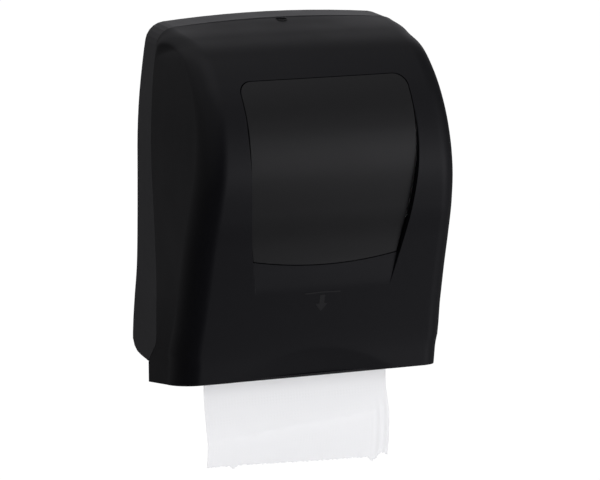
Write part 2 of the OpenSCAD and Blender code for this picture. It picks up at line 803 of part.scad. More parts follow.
// Columns of one half, from the middle: inside the panel, round its corner, wall, shoulder,
// corner arc and flank
corner_steps = 4;
panel_cols = concat([0, 0.3, 0.6], [for (k = [0:corner_steps]) k / corner_steps]);
arc_steps = 7;
rows = concat(
    [for (k = [0:5]) panel_top * k / 6], [for (k = [0:13]) panel_top
        + (panel_low - panel_top) * k / 13], [for (k = [1:7]) panel_low
        + (12 - panel_low) * k / 7]
);
row_top = 6;
row_low = 19;

function hump(u, lo, peak, hi) =
    u < peak ? ease((u - lo) / (peak - lo)) : ease((hi - u) / (hi - peak));
// Place along the nose of a row where it crosses the panel at a given share of its half width
function bent(u, x, cx) =
    let(over = max(0, abs(x) - (cx - panel_corner)) / panel_corner)
    u + hump(u, 1, panel_top, 4.6) * panel_corner_fall * (1 - sqrt(1 - min(over, 1) ^ 2))
    + hump(u, 6.4, panel_low, 10.8) * panel_sag * (1 - (x / cx) ^ 2);

// Shape of one row: its seam point, its nose point and how it turns between them
function nose_at(u) = path(nose_pts, u);
function fan_seam(u) = seam_at(lookup(u, fan_table));
function flank_dir(u) = unit(nose_at(u) - fan_seam(u));
function front_x(u) =
    let(f = nose_at(u), s = fan_seam(u), reach = norm(f - s) - lookup(u, corner_ry_table))
    let(h = smooth(width_table, s[1]))
    h - (h - smooth(front_table, f[1])) * ease(reach / 50);
function arc_x(u) = front_x(u) - lookup(u, corner_rx_table);
// Point of the front at a distance x from the middle, sunk by a depth
function front_pt(u, x, sunk) =
    let(f = nose_at(u), d = flank_dir(u), q = min(abs(x) / arc_x(u), 1))
    let(p = f + d * lookup(u, crown_table) * (1 - q * q))
    [x, -p[0] + sunk, p[1]];
function arc_pt(u, a) =
    let(f = nose_at(u), d = flank_dir(u), ry = lookup(u, corner_ry_table))
    let(rx = lookup(u, corner_rx_table), p = f - d * ry * (1 - sin(a)))
    [front_x(u) - rx + rx * cos(a), -p[0], p[1]];
function flank_pt(u, q) =
    let(s = fan_seam(u), d = flank_dir(u), ry = lookup(u, corner_ry_table))
    let(k = nose_at(u) - d * ry, h = smooth(width_table, s[1]), p = s + (k - s) * q)
    [h + (front_x(u) - h) * q, -p[0], p[1]];

function crease_x(u) = smooth(crease_x_table, u);
function step_at(u) = max(0, smooth(step_table, u));
function foot_x(u) = crease_x(u) - crease_draft;
// Column places across the panel's half width, closer together round its corner
function panel_xs(cx) = concat(
    [for (q = [0, 0.35, 0.7]) q * (cx - panel_corner)],
    [for (k = [0:corner_steps]) cx - panel_corner + panel_corner * sin(90 * k / corner_steps)]
);
panel_n = 3 + corner_steps;
function half_row(u) =
    let(cx = foot_x(u), kx = crease_x(u), ax = arc_x(u))
    concat(
        [for (x = panel_xs(cx)) let(v = bent(u, x, cx)) front_pt(v, x, step_at(v))],
        [front_pt(bent(u, cx, cx), kx, 0)],
        [for (q = [0.4, 0.75]) front_pt(u, kx + (ax - kx) * q, 0)],
        [for (k = [0:arc_steps]) arc_pt(u, 90 - 90 * k / arc_steps)],
        [for (q = [0.5, 0]) flank_pt(u, q)]
    );
function flip(p) = [-p[0], p[1], p[2]];
function whole_row(half) = concat([for (i = [len(half) - 1:-1:1]) flip(half[i])], half);
outer_grid = [for (u = rows) whole_row(half_row(u))];
grid_rows = len(rows);
grid_cols = len(outer_grid[0]);
mid_col = (grid_cols - 1) / 2;

function grid_normal(g, i, j) =
    let(a = g[max(i - 1, 0)][j], b = g[min(i + 1, len(g) - 1)][j])
    let(c = g[i][max(j - 1, 0)], d = g[i][min(j + 1, len(g[0]) - 1)])
    unit(cross(b - a, d - c));
// Inner face, kept in the seam's plane along the rim
function inner_pt(g, i, j, t) =
    let(p = g[i][j], n = grid_normal(g, i, j), last = len(g[0]) - 1)
    let(q = j == 0 || j == last ? p - t * [sign(p[0]), 0, 0] : p - t * n)
    i == 0 ? [q[0], p[1], q[2]] : q;
function inner_grid(g, t) =
    [for (i = [0:len(g) - 1]) [for (j = [0:len(g[0]) - 1]) inner_pt(g, i, j, t)]];

// Triangles between two lines of points given by their indices
function ribbon(a, b) = flat([for (k = [0:len(a) - 2])
    [[a[k], a[k + 1], b[k]], [a[k + 1], b[k + 1], b[k]]]]);
// Closed skin between an outer and an inner grid, open over the hole's rows and columns
module skin(outer, inner, hole) {
    nr = len(outer);
    nc = len(outer[0]);
    off = nr * nc;
    function row_of(i, j0, j1, base) = [for (j = [j0:j1]) base + i * nc + j];
    function col_of(j, i0, i1, base) = [for (i = [i0:i1]) base + i * nc + j];
    function open(i, j) = i >= hole[0] && i < hole[1] && j >= hole[2] && j < hole[3];
    face = flat([for (i = [0:nr - 2]) for (j = [0:nc - 2]) if (!open(i, j))
        [[i * nc + j, i * nc + j + 1, (i + 1) * nc + j],
         [i * nc + j + 1, (i + 1) * nc + j + 1, (i + 1) * nc + j]]]);
    back = [for (t = face) [t[2] + off, t[1] + off, t[0] + off]];
    rim = concat(
        ribbon(row_of(0, 0, nc - 1, off), row_of(0, 0, nc - 1, 0)),
        ribbon(row_of(nr - 1, 0, nc - 1, 0), row_of(nr - 1, 0, nc - 1, off)),
        ribbon(col_of(0, 0, nr - 1, 0), col_of(0, 0, nr - 1, off)),
        ribbon(col_of(nc - 1, 0, nr - 1, off), col_of(nc - 1, 0, nr - 1, 0))
    );
    inside = hole[1] <= hole[0] ? [] : concat(
        ribbon(row_of(hole[0], hole[2], hole[3], 0), row_of(hole[0], hole[2], hole[3], off)),
        ribbon(row_of(hole[1], hole[2], hole[3], off), row_of(hole[1], hole[2], hole[3], 0)),
        ribbon(col_of(hole[2], hole[0], hole[1], off), col_of(hole[2], hole[0], hole[1], 0)),
        ribbon(col_of(hole[3], hole[0], hole[1], 0), col_of(hole[3], hole[0], hole[1], off))
    );
    polyhedron(concat(flat(outer), flat(inner)), concat(face, back, rim, inside));
}
// Upright ribs inside the cover, one beside each end of the roll
rib_x = 112;
rib_t = 1.8;
rib_us = [for (k = [0:14]) 3.6 + 7.4 * k / 14];
function rib_line(sunk) =
    [for (u = rib_us) let(p = front_pt(u, rib_x, sunk)) [p[1], p[2]]];
function backwards(list) = [for (i = [len(list) - 1:-1:0]) list[i]];
module cover_ribs() {
    mirrored() along_x(rib_x - rib_t, rib_x)
        polygon(concat(rib_line(cover_wall - 0.6), backwards(rib_line(cover_wall + 5))));
}
module front_cover() {
    color("#1a1a1c") place() difference() {
        union() {
            cover_ribs();
            skin(
                outer_grid, inner_grid(outer_grid, cover_wall),
                [row_top, row_low, mid_col - panel_n, mid_col + panel_n]
            );
            translate([0, lock_y, 350]) cylinder(r = boss_r, h = 16.6);
        }
        translate([0, lock_y, 340]) cylinder(r = barrel_r + running, h = 50);
    }
}

// Panel seated in the cover's window, with a bevelled edge that leaves the groove
function panel_row(u, inset, sunk) =
    let(cx = foot_x(u) - inset)
    [for (x = panel_xs(cx)) let(v = bent(u, x, cx)) front_pt(v, x, step_at(v) + sunk)];
function panel_grid(inset, sunk) =
    let(lo = panel_top + inset / 39, hi = panel_low - inset / 40)
    [for (k = [0:13]) whole_row(panel_row(lo + (hi - lo) * k / 13, inset, sunk))];
module window_panel() {
    outer = panel_grid(panel_gap, 0);
    seat = panel_grid(0.06, 0);
    color("#232326") place() skin(outer, inner_grid_all(seat, panel_wall), [0, 0, 0, 0]);
}
function inner_grid_all(g, t) = [for (i = [0:len(g) - 1])
    [for (j = [0:len(g[0]) - 1]) g[i][j] - t * grid_normal(g, i, j)]];

// Floor of the cover in front of the towel's way out
floor_slope = (19.3 - 3.3) / (146.7 - 55.5);
floor_rear = -105;
module cover_floor() {
    rim = inner_grid(outer_grid, cover_wall + 0.15)[grid_rows - 1];
    function low_z(y) = 3.3 + floor_slope * (-y - 55.5);
    color("#1a1a1c") place() intersection() {
        linear_extrude(60) polygon([for (p = rim) [p[0], p[1]]]);
        along_x(-160, 160) polygon([
            [floor_rear, low_z(floor_rear) + 0.3], [-160, low_z(-160) + 0.3],
            [-160, low_z(-160) + 2.8], [floor_rear - 2.5, low_z(floor_rear) + 2.8],
            [floor_rear - 2.5, low_z(floor_rear) + 9], [floor_rear, low_z(floor_rear) + 9]
        ]);
    }
}
module hinge_brackets() {
    color("#1a1a1c") place() mirrored() difference() {
        union() {
            rod(hinge, 7.5, 136.8, 141.8);
            along_x(137, 139.2) polygon([
                hinge + [1, 7.4], [-98, 42], [-102, 36], [-98, 18], hinge + [0, -7.4]
            ]);
        }
        rod(hinge, hinge_pin_r + running, 136, 146);
    }
}
module lock_barrel() {
    color("#3a3b3e") place() translate([0, lock_y, 0]) difference() {
        union() {
            translate([0, 0, 346.2]) cylinder(r = barrel_r, h = 22);
            translate([0, 0, 342]) cylinder(r = 3, h = 5);
        }
        translate([-5, -1.4, 365]) cube([10, 2.8, 6]);
    }
}
module lock_hook() {
    color("#c4c8cc") place() translate([0, lock_y, 0]) difference() {
        union() {
            translate([0, 0, 342.4]) intersection() {
                cylinder(r = 18.5, h = 3.4);
                linear_extrude(4) polygon([[-6, -8], [18, -13], [24, 0], [18, 13], [-6, 8]]);
            }
            intersection() {
                difference() {
                    translate([0, 0, 345]) cylinder(r = 18.5, h = 6.4);
                    translate([0, 0, 340]) cylinder(r = 14.6, h = 20);
                }
                translate([0, 0, 340]) linear_extrude(20) polygon([[0, 0], [30, -19], [30, 19]]);
            }
        }
        translate([0, 0, 340]) cylinder(r = 3, h = 20);
    }
}

rear_case();
left_side_frame();
right_side_frame();
drum_bushes();
exit_guide();
drum_guard();
cross_tie();
hinge_pins();
keeper();
frame_screws();
left_roll_arm();
arm_bracket();
right_roll_arm();
arm_pin();
arm_spring();
left_hub();
right_hub();
roll_core();
paper_roll();
paper_web();
nip_carriers();
nip_springs();
pinch_axle();
pinch_roller();
drum_axle();
drum_knife_shell();
drum_plain_shell();
drum_grips();
drum_screws();
knife_carrier();
knife_blade();
knife_follower();
knife_cam();
crank_disc();
crank_pin();
spring_post();
return_spring();
feed_knob();
front_cover();
window_panel();
cover_floor();
hinge_brackets();
lock_barrel();
lock_hook();
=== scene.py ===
"""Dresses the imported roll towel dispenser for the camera.

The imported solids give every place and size. This script adds the smooth moulded cover and
its panel, the torn towel, the finishes of every piece, the studio and the camera.
"""

import json
import logging
import math
from dataclasses import dataclass, field
from enum import Enum

import bpy
import numpy as np
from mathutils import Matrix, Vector


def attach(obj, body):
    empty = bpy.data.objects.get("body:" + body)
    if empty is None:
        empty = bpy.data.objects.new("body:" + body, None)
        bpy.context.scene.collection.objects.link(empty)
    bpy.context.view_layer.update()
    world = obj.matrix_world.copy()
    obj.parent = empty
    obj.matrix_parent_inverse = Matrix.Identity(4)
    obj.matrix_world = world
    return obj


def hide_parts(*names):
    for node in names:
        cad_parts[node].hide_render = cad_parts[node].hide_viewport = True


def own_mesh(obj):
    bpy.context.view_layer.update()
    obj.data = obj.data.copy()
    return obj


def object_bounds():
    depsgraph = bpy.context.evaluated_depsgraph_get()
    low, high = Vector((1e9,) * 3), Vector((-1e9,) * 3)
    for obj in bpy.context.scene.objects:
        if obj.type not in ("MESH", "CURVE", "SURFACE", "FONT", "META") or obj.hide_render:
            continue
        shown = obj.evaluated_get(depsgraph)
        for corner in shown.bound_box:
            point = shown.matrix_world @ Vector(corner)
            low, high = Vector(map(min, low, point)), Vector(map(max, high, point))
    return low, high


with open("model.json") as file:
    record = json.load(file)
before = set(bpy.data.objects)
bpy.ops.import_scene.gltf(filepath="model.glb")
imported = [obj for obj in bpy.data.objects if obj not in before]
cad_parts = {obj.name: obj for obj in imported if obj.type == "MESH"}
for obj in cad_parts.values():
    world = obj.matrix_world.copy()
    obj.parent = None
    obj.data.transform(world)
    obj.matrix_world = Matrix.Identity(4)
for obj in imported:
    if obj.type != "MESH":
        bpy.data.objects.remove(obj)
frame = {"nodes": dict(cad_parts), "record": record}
CAD_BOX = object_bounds()

LOG = logging.getLogger("dispenser")
MM = 0.001
# Height of the wall screws' centre, the frame's origin, above the cover's lowest point
MOUNT_Z = 215.0
# Faces that meet at more than this many degrees keep a sharp edge in the shading
SHARP_ANGLE = 35.0

Pair = tuple[float, float]
Point = tuple[float, float, float]
Colour = tuple[float, float, float, float]
Table = tuple[Pair, ...]
Socket = bpy.types.NodeSocket

WHITE: Colour = (1.0, 1.0, 1.0, 1.0)


def linear(code: str) -> Colour:
    """Turns an sRGB hex colour into the linear values that a shader takes.

    Args:
        code: A colour such as "#1A1A1C".

    Returns:
        Red, green, blue and an alpha of 1.
    """
    def channel(pair: str) -> float:
        """One channel from its two hex digits."""
        value = int(pair, 16) / 255
        return value / 12.92 if value <= 0.04045 else ((value + 0.055) / 1.055) ** 2.4

    digits = code.lstrip("#")
    return (channel(digits[0:2]), channel(digits[2:4]), channel(digits[4:6]), 1.0)


def add_node(tree: bpy.types.NodeTree, kind: str, **settings: object) -> bpy.types.Node:
    """Adds a shader node, sets its values and joins what it is given.

    Args:
        tree: The node tree that takes the node.
        kind: The node's type without the ShaderNode prefix.
        settings: Values by property name, by socket name with spaces written as
            underscores, or by an underscore and the socket's number. A value that is itself
            a socket is linked.

    Returns:
        The new node.
    """
    node = tree.nodes.new("ShaderNode" + kind)
    later = {}
    for name, value in settings.items():
        if hasattr(node, name) and not isinstance(value, Socket):
            setattr(node, name, value)
        else:
            later[name] = value
    for name, value in later.items():
        key = int(name[1:]) if name[1:].isdigit() else name.replace("_", " ")
        socket = node.inputs[key]
        if isinstance(value, Socket):
            tree.links.new(value, socket)
        else:
            socket.default_value = value
    return node


def new_material(name: str) -> tuple[bpy.types.Material, bpy.types.NodeTree, Socket]:
    """Makes an empty material.

    Args:
        name: The material's name.

    Returns:
        The material, its node tree and the output's surface socket.
    """
    material = bpy.data.materials.new(name)
    material.use_nodes = True
    tree = material.node_tree
    tree.nodes.clear()
    output = add_node(tree, "OutputMaterial")
    return material, tree, output.inputs["Surface"]


def place_mm(tree: bpy.types.NodeTree) -> Socket:
    """Gives object coordinates in millimetres, so that patterns have real sizes.

    Args:
        tree: The material's node tree.

    Returns:
        The socket with the coordinates.
    """
    where = add_node(tree, "TexCoord")
    scaled = add_node(
        tree, "VectorMath", operation="SCALE", _0=where.outputs["Object"], Scale=1 / MM
    )
    return scaled.outputs["Vector"]


@dataclass(frozen=True)
class Substance:
    """What all finishes share: the material's name and colour and how it is put together."""

    name: str
    colour: str

    def tone(self, share: float = 1.0) -> Colour:
        """The colour in linear values, times a share."""
        return tuple(value * share for value in linear(self.colour)[:3]) + (1.0,)

    def shader(self, tree: bpy.types.NodeTree, place: Socket) -> Socket:
        """Builds the shader, which each kind of finish does in its own way.

        Args:
            tree: The material's node tree.
            place: Object coordinates in millimetres.

        Returns:
            The shader's socket.
        """
        raise NotImplementedError

    def material(self) -> bpy.types.Material:
        """Builds the material.

        Returns:
            The material.
        """
        material, tree, surface = new_material(self.name)
        tree.links.new(self.shader(tree, place_mm(tree)), surface)
        return material


@dataclass(frozen=True)
class MouldedPlastic(Substance):
    """Injection-moulded plastic from a spark-eroded mould.

    The mould's fine pits give a soft sheen, and slow changes of gloss and tone show where
    the melt flowed. The pits are near 0.1 mm and are drawn coarser, so that they show.
    """

    roughness: float = 0.45
    gloss_change: float = 0.06
    flow_mm: float = 45.0
    flow_tone: float = 1.12
    pit_mm: float = 0.7
    pit_high_mm: float = 0.2
    pit_depth: float = 0.04
    ior: float = 1.52
    specular: float = 0.5

    def shader(self, tree: bpy.types.NodeTree, place: Socket) -> Socket:
        """Builds the plastic's shader.

        Args:
            tree: The material's node tree.
            place: Object coordinates in millimetres.

        Returns:
            The shader's socket.
        """
        flow = add_node(tree, "TexNoise", Vector=place, Scale=1 / self.flow_mm, Detail=2.0)
        gloss = add_node(
            tree, "MapRange", Value=flow.outputs["Fac"],
            To_Min=self.roughness - self.gloss_change,
            To_Max=self.roughness + self.gloss_change,
        )
        pits = add_node(tree, "TexNoise", Vector=place, Scale=1 / self.pit_mm, Detail=3.0)
        bump = add_node(
            tree, "Bump", Strength=self.pit_depth, Distance=MM * self.pit_high_mm,
            Height=pits.outputs["Fac"],
        )
        shade = add_node(
            tree, "MixRGB", Fac=flow.outputs["Fac"], Color1=self.tone(),
            Color2=self.tone(self.flow_tone),
        )
        body = add_node(
            tree, "BsdfPrincipled", Base_Color=shade.outputs["Color"],
            Roughness=gloss.outputs["Result"], IOR=self.ior,
            Specular_IOR_Level=self.specular, Normal=bump.outputs["Normal"],
        )
        return body.outputs["BSDF"]


@dataclass(frozen=True)
class WorkedSteel(Substance):
    """Steel that was drawn, turned or ground, with fine marks along its length.

    The marks are duller and darker, so that highlights break up into streaks, 25 times as
    long as wide. They are finer than 0.1 mm and are drawn coarser, so that they show.
    """

    roughness: float = 0.3
    less_rough: float = 0.08
    more_rough: float = 0.1
    mark_mm: float = 0.5
    mark_squeeze: float = 0.04
    mark_tone: float = 0.86
    mark_high_mm: float = 0.1
    mark_depth: float = 0.12

    def shader(self, tree: bpy.types.NodeTree, place: Socket) -> Socket:
        """Builds the steel's shader.

        Args:
            tree: The material's node tree.
            place: Object coordinates in millimetres.

        Returns:
            The shader's socket.
        """
        stretched = add_node(
            tree, "VectorMath", operation="MULTIPLY", _0=place,
            _1=(self.mark_squeeze, 1.0, 1.0),
        )
        marks = add_node(
            tree, "TexNoise", Vector=stretched.outputs["Vector"], Scale=1 / self.mark_mm,
            Detail=2.0,
        )
        gloss = add_node(
            tree, "MapRange", Value=marks.outputs["Fac"],
            To_Min=self.roughness - self.less_rough, To_Max=self.roughness + self.more_rough,
        )
        bump = add_node(
            tree, "Bump", Strength=self.mark_depth, Distance=MM * self.mark_high_mm,
            Height=marks.outputs["Fac"],
        )
        shade = add_node(
            tree, "MixRGB", Fac=marks.outputs["Fac"], Color1=self.tone(),
            Color2=self.tone(self.mark_tone),
        )
        body = add_node(
            tree, "BsdfPrincipled", Base_Color=shade.outputs["Color"], Metallic=1.0,
            Roughness=gloss.outputs["Result"], Normal=bump.outputs["Normal"],
        )
        return body.outputs["BSDF"]


@dataclass(frozen=True)
class Rubber(Substance):
    """Moulded and ground rubber: matt, with a fine grain from the grinding stone.

    The grain is near 0.2 mm and is drawn coarser, so that it shows.
    """

    roughness: float = 0.8
    specular: float = 0.3
    grain_mm: float = 0.6
    grain_tone: float = 1.3
    grain_high_mm: float = 0.15
    grain_depth: float = 0.25

    def shader(self, tree: bpy.types.NodeTree, place: Socket) -> Socket:
        """Builds the rubber's shader.

        Args:
            tree: The material's node tree.
            place: Object coordinates in millimetres.

        Returns:
            The shader's socket.
        """
        grain = add_node(
            tree, "TexNoise", Vector=place, Scale=1 / self.grain_mm, Detail=4.0
        )
        bump = add_node(
            tree, "Bump", Strength=self.grain_depth, Distance=MM * self.grain_high_mm,
            Height=grain.outputs["Fac"],
        )
        shade = add_node(
            tree, "MixRGB", Fac=grain.outputs["Fac"], Color1=self.tone(),
            Color2=self.tone(self.grain_tone),
        )
        body = add_node(
            tree, "BsdfPrincipled", Base_Color=shade.outputs["Color"],
            Roughness=self.roughness, Specular_IOR_Level=self.specular,
            Normal=bump.outputs["Normal"],
        )
        return body.outputs["BSDF"]


@dataclass(frozen=True)
class TowelPaper(Substance):
    """Bleached towel paper, embossed with rows of small dots and slightly creped.

    The dots are 3.2 mm apart and give the white a soft grain. The crepe's wrinkles are near
    0.4 mm and are drawn coarser, so that they show. Light comes through the single ply, so
    that its shaded side stays pale.
    """

    name: str = "towel_paper"
    colour: str = "#EFEFF1"
    roughness: float = 0.9
    specular: float = 0.2
    through: float = 0.25
    dot_mm: float = 3.2
    dot_scatter: float = 0.15
    dot_rim: Pair = (0.15, 0.5)
    crepe_mm: float = 0.9
    crepe_share: float = 0.35
    emboss_high_mm: float = 0.25
    emboss_depth: float = 0.22

    def shader(self, tree: bpy.types.NodeTree, place: Socket) -> Socket:
        """Builds the paper's shader.

        Args:
            tree: The material's node tree.
            place: Object coordinates in millimetres.

        Returns:
            The shader's socket.
        """
        cells = add_node(
            tree, "TexVoronoi", Vector=place, Scale=1 / self.dot_mm,
            Randomness=self.dot_scatter,
        )
        dots = add_node(
            tree, "MapRange", Value=cells.outputs["Distance"], From_Min=self.dot_rim[0],
            From_Max=self.dot_rim[1],
        )
        crepe = add_node(
            tree, "TexNoise", Vector=place, Scale=1 / self.crepe_mm, Detail=3.0
        )
        height = add_node(
            tree, "Math", operation="MULTIPLY_ADD", _0=crepe.outputs["Fac"],
            _1=self.crepe_share, _2=dots.outputs["Result"],
        )
        bump = add_node(
            tree, "Bump", Strength=self.emboss_depth, Distance=MM * self.emboss_high_mm,
            Height=height.outputs["Value"],
        )
        body = add_node(
            tree, "BsdfPrincipled", Base_Color=self.tone(), Roughness=self.roughness,
            Specular_IOR_Level=self.specular, Normal=bump.outputs["Normal"],
        )
        glow = add_node(tree, "BsdfTranslucent", Color=self.tone())
        mixed = add_node(
            tree, "MixShader", Fac=self.through, _1=body.outputs["BSDF"],
            _2=glow.outputs["BSDF"],
        )
        return mixed.outputs["Shader"]


@dataclass(frozen=True)
class WoundBoard(Substance):
    """Grey-brown board wound in a spiral, with a faint seam every 40 mm and loose fibres."""

    name: str = "wound_board"
    colour: str = "#A98A63"
    roughness: float = 0.85
    fibre_mm: float = 1.25
    fibre_high_mm: float = 0.2
    fibre_depth: float = 0.2
    seam_mm: float = 40.0
    seam_waver: float = 0.4
    seam_tone: float = 0.7

    def shader(self, tree: bpy.types.NodeTree, place: Socket) -> Socket:
        """Builds the board's shader.

        Args:
            tree: The material's node tree.
            place: Object coordinates in millimetres.

        Returns:
            The shader's socket.
        """
        fibres = add_node(
            tree, "TexNoise", Vector=place, Scale=1 / self.fibre_mm, Detail=5.0
        )
        seams = add_node(
            tree, "TexWave", Vector=place, Scale=1 / self.seam_mm,
            Distortion=self.seam_waver, bands_direction="DIAGONAL",
        )
        mixed = add_node(
            tree, "Math", operation="MULTIPLY", _0=fibres.outputs["Fac"],
            _1=seams.outputs["Fac"],
        )
        shade = add_node(
            tree, "MixRGB", Fac=mixed.outputs["Value"], Color1=self.tone(),
            Color2=self.tone(self.seam_tone),
        )
        bump = add_node(
            tree, "Bump", Strength=self.fibre_depth, Distance=MM * self.fibre_high_mm,
            Height=fibres.outputs["Fac"],
        )
        body = add_node(
            tree, "BsdfPrincipled", Base_Color=shade.outputs["Color"],
            Roughness=self.roughness, Normal=bump.outputs["Normal"],
        )
        return body.outputs["BSDF"]


@dataclass(frozen=True)
class RollEnd(Substance):
    """Bleached towel wound tight, whose layers show as fine rings on the roll's ends.

    The rings are drawn 1.4 mm apart, so that they show, and some are darker, where the
    winder's tension changed.
    """

    name: str = "wound_towel"
    colour: str = "#F1F1F2"
    roughness: float = 0.9
    ring_mm: float = 1.4
    ring_tone: float = 0.72
    ring_high_mm: float = 0.4
    ring_depth: float = 0.5
    centre_mm: Point = (0.0, -99.0, 35.0)

    def shader(self, tree: bpy.types.NodeTree, place: Socket) -> Socket:
        """Builds the roll's shader.

        Args:
            tree: The material's node tree.
            place: Object coordinates in millimetres.

        Returns:
            The shader's socket.
        """
        centred = add_node(
            tree, "VectorMath", operation="SUBTRACT", _0=place, _1=self.centre_mm
        )
        flat = add_node(
            tree, "VectorMath", operation="MULTIPLY", _0=centred.outputs["Vector"],
            _1=(0.0, 1.0, 1.0),
        )
        radius = add_node(tree, "VectorMath", operation="LENGTH", _0=flat.outputs["Vector"])
        turns = add_node(
            tree, "Math", operation="DIVIDE", _0=radius.outputs["Value"], _1=self.ring_mm
        )
        rings = add_node(
            tree, "TexNoise", noise_dimensions="1D", W=turns.outputs["Value"], Detail=4.0,
            Scale=1.0,
        )
        shade = add_node(
            tree, "MixRGB", Fac=rings.outputs["Fac"], Color1=self.tone(self.ring_tone),
            Color2=self.tone(),
        )
        bump = add_node(
            tree, "Bump", Strength=self.ring_depth, Distance=MM * self.ring_high_mm,
            Height=rings.outputs["Fac"],
        )
        body = add_node(
            tree, "BsdfPrincipled", Base_Color=shade.outputs["Color"],
            Roughness=self.roughness, Normal=bump.outputs["Normal"],
        )
        return body.outputs["BSDF"]


class Finish(Enum):
    """The finishes of the dispenser's pieces."""

    CASE_ABS = MouldedPlastic("case_abs", "#262628", roughness=0.42)
    COVER_ABS = MouldedPlastic("cover_abs", "#07070A", roughness=0.38, specular=0.35)
    PANEL_ABS = MouldedPlastic(
        "panel_abs", "#0B0B0C", roughness=0.33, specular=0.46, pit_depth=0.02
    )
    LOCK_ABS = MouldedPlastic("lock_abs", "#060607", roughness=0.5, specular=0.3)
    PAD_PRINT = MouldedPlastic("pad_printed_grey", "#0F0F11", pit_depth=0.0)
    CHASSIS_PP = MouldedPlastic("chassis_polypropylene", "#4A4C50", roughness=0.55)
    GUARD_PP = MouldedPlastic("guard_polypropylene", "#3C3E42", roughness=0.5)
    ACETAL = MouldedPlastic("acetal", "#E8E2D0", roughness=0.35, pit_depth=0.02)
    HUB_PP = MouldedPlastic("hub_polypropylene", "#8F9398", roughness=0.5)
    DRUM_ABS = MouldedPlastic("drum_abs", "#5B5E63", roughness=0.5)
    GRIP_RUBBER = Rubber("grip_rubber", "#2F2F30")
    ROLLER_RUBBER = Rubber("roller_rubber", "#4D4D4D")
    PIN_STEEL = WorkedSteel("ground_pin_steel", "#C4C8CC")
    SCREW_ZINC = WorkedSteel("zinc_plated_screw", "#B8BCC2", roughness=0.38)
    SPRING_WIRE = WorkedSteel("drawn_spring_wire", "#9AA0A6", roughness=0.28)
    BLADE_STEEL = WorkedSteel("ground_blade_steel", "#D4D8DC", roughness=0.22)
    TOWEL = TowelPaper()
    ROLL = RollEnd()
    BOARD = WoundBoard()


@dataclass
class Paintbox:
    """Keeps one material for each finish that has been used."""

    made: dict[Finish, bpy.types.Material] = field(default_factory=dict)

    def dress(self, piece: bpy.types.Object, finish: Finish) -> None:
        """Gives a piece one finish all over.

        Args:
            piece: The mesh object to dress.
            finish: Its finish.
        """
        if finish not in self.made:
            self.made[finish] = finish.value.material()
        piece.data.materials.clear()
        piece.data.materials.append(self.made[finish])


def mesh_piece(
    name: str, points: np.ndarray, faces: list[tuple[int, ...]], smooth: bool = True
) -> bpy.types.Object:
    """Makes a mesh object from points in millimetres above the cover's lowest point.

    Args:
        name: The piece's name.
        points: One row of x, y and z for each point.
        faces: The faces, as point numbers.
        smooth: Whether the faces are shaded smooth.

    Returns:
        The new object, in metres and in the frame.
    """
    placed = (np.asarray(points, float) - (0, 0, MOUNT_Z)) * MM
    mesh = bpy.data.meshes.new(name)
    mesh.from_pydata(placed.tolist(), [], faces)
    mesh.polygons.foreach_set("use_smooth", [smooth] * len(mesh.polygons))
    mesh.update()
    piece = bpy.data.objects.new(name, mesh)
    bpy.context.scene.collection.objects.link(piece)
    return piece


def round_edges(piece: bpy.types.Object, width_mm: float, angle: float = 40.0) -> None:
    """Rounds a piece's sharp edges with a modifier, as a mould or a tumbler leaves them.

    Args:
        piece: The mesh object.
        width_mm: Width of the rounding.
        angle: Edges that turn by more than this many degrees are rounded.
    """
    bevel = piece.modifiers.new("rounded_edges", "BEVEL")
    bevel.width = width_mm * MM
    bevel.segments = 2
    bevel.limit_method = "ANGLE"
    bevel.angle_limit = math.radians(angle)
    bevel.use_clamp_overlap = True
    weighted = piece.modifiers.new("even_shading", "WEIGHTED_NORMAL")
    weighted.keep_sharp = True


def hermite(table: Table, keys: np.ndarray) -> np.ndarray:
    """Smooth curve through a table of key and value pairs.

    Args:
        table: The pairs, with rising keys.
        keys: Where the curve is wanted.

    Returns:
        The curve's values.
    """
    rows = np.asarray(table, float)
    x, v = rows[:, 0], rows[:, 1]
    slopes = np.gradient(v)
    slopes[1:-1] = (v[2:] - v[:-2]) / (x[2:] - x[:-2])
    slopes[0] = (v[1] - v[0]) / (x[1] - x[0])
    slopes[-1] = (v[-1] - v[-2]) / (x[-1] - x[-2])
    keys = np.clip(np.asarray(keys, float), x[0], x[-1])
    i = np.clip(np.searchsorted(x, keys, side="right") - 1, 0, len(x) - 2)
    h = x[i + 1] - x[i]
    w = (keys - x[i]) / h
    return (
        v[i] * (1 + 2 * w) * (1 - w) ** 2 + slopes[i] * h * w * (1 - w) ** 2
        + v[i + 1] * w * w * (3 - 2 * w) + slopes[i + 1] * h * w * w * (w - 1)
    )


def steady(table: Table, keys: np.ndarray) -> np.ndarray:
    """Straight lines between a table's pairs."""
    rows = np.asarray(table, float)
    return np.interp(keys, rows[:, 0], rows[:, 1])


def path_at(points: Table, places: np.ndarray) -> np.ndarray:
    """Smooth path through points.

    Args:
        points: The points that the path runs through.
        places: Places along the path, counted in points.

    Returns:
        One point for each place.
    """
    p = np.asarray(points, float)
    padded = np.vstack([2 * p[0] - p[1], p, 2 * p[-1] - p[-2]])
    places = np.clip(places, 0, len(p) - 1)
    i = np.minimum(np.floor(places).astype(int), len(p) - 2)
    w = (places - i)[..., None]
    a, b, c, d = padded[i], padded[i + 1], padded[i + 2], padded[i + 3]
    return 0.5 * (
        2 * b + (c - a) * w + (2 * a - 5 * b + 4 * c - d) * w**2
        + (3 * b - a - 3 * c + d) * w**3
    )


def ease(w: np.ndarray) -> np.ndarray:
    """Turns a share from 0 to 1 into one that starts and stops gently."""
    c = np.clip(w, 0, 1)
    return c * c * (3 - 2 * c)


def hump(u: np.ndarray, lo: float, peak: float, hi: float) -> np.ndarray:
    """A gentle rise from 0 at lo to 1 at peak and back to 0 at hi."""
    return np.where(u < peak, ease((u - lo) / (peak - lo)), ease((hi - u) / (hi - peak)))


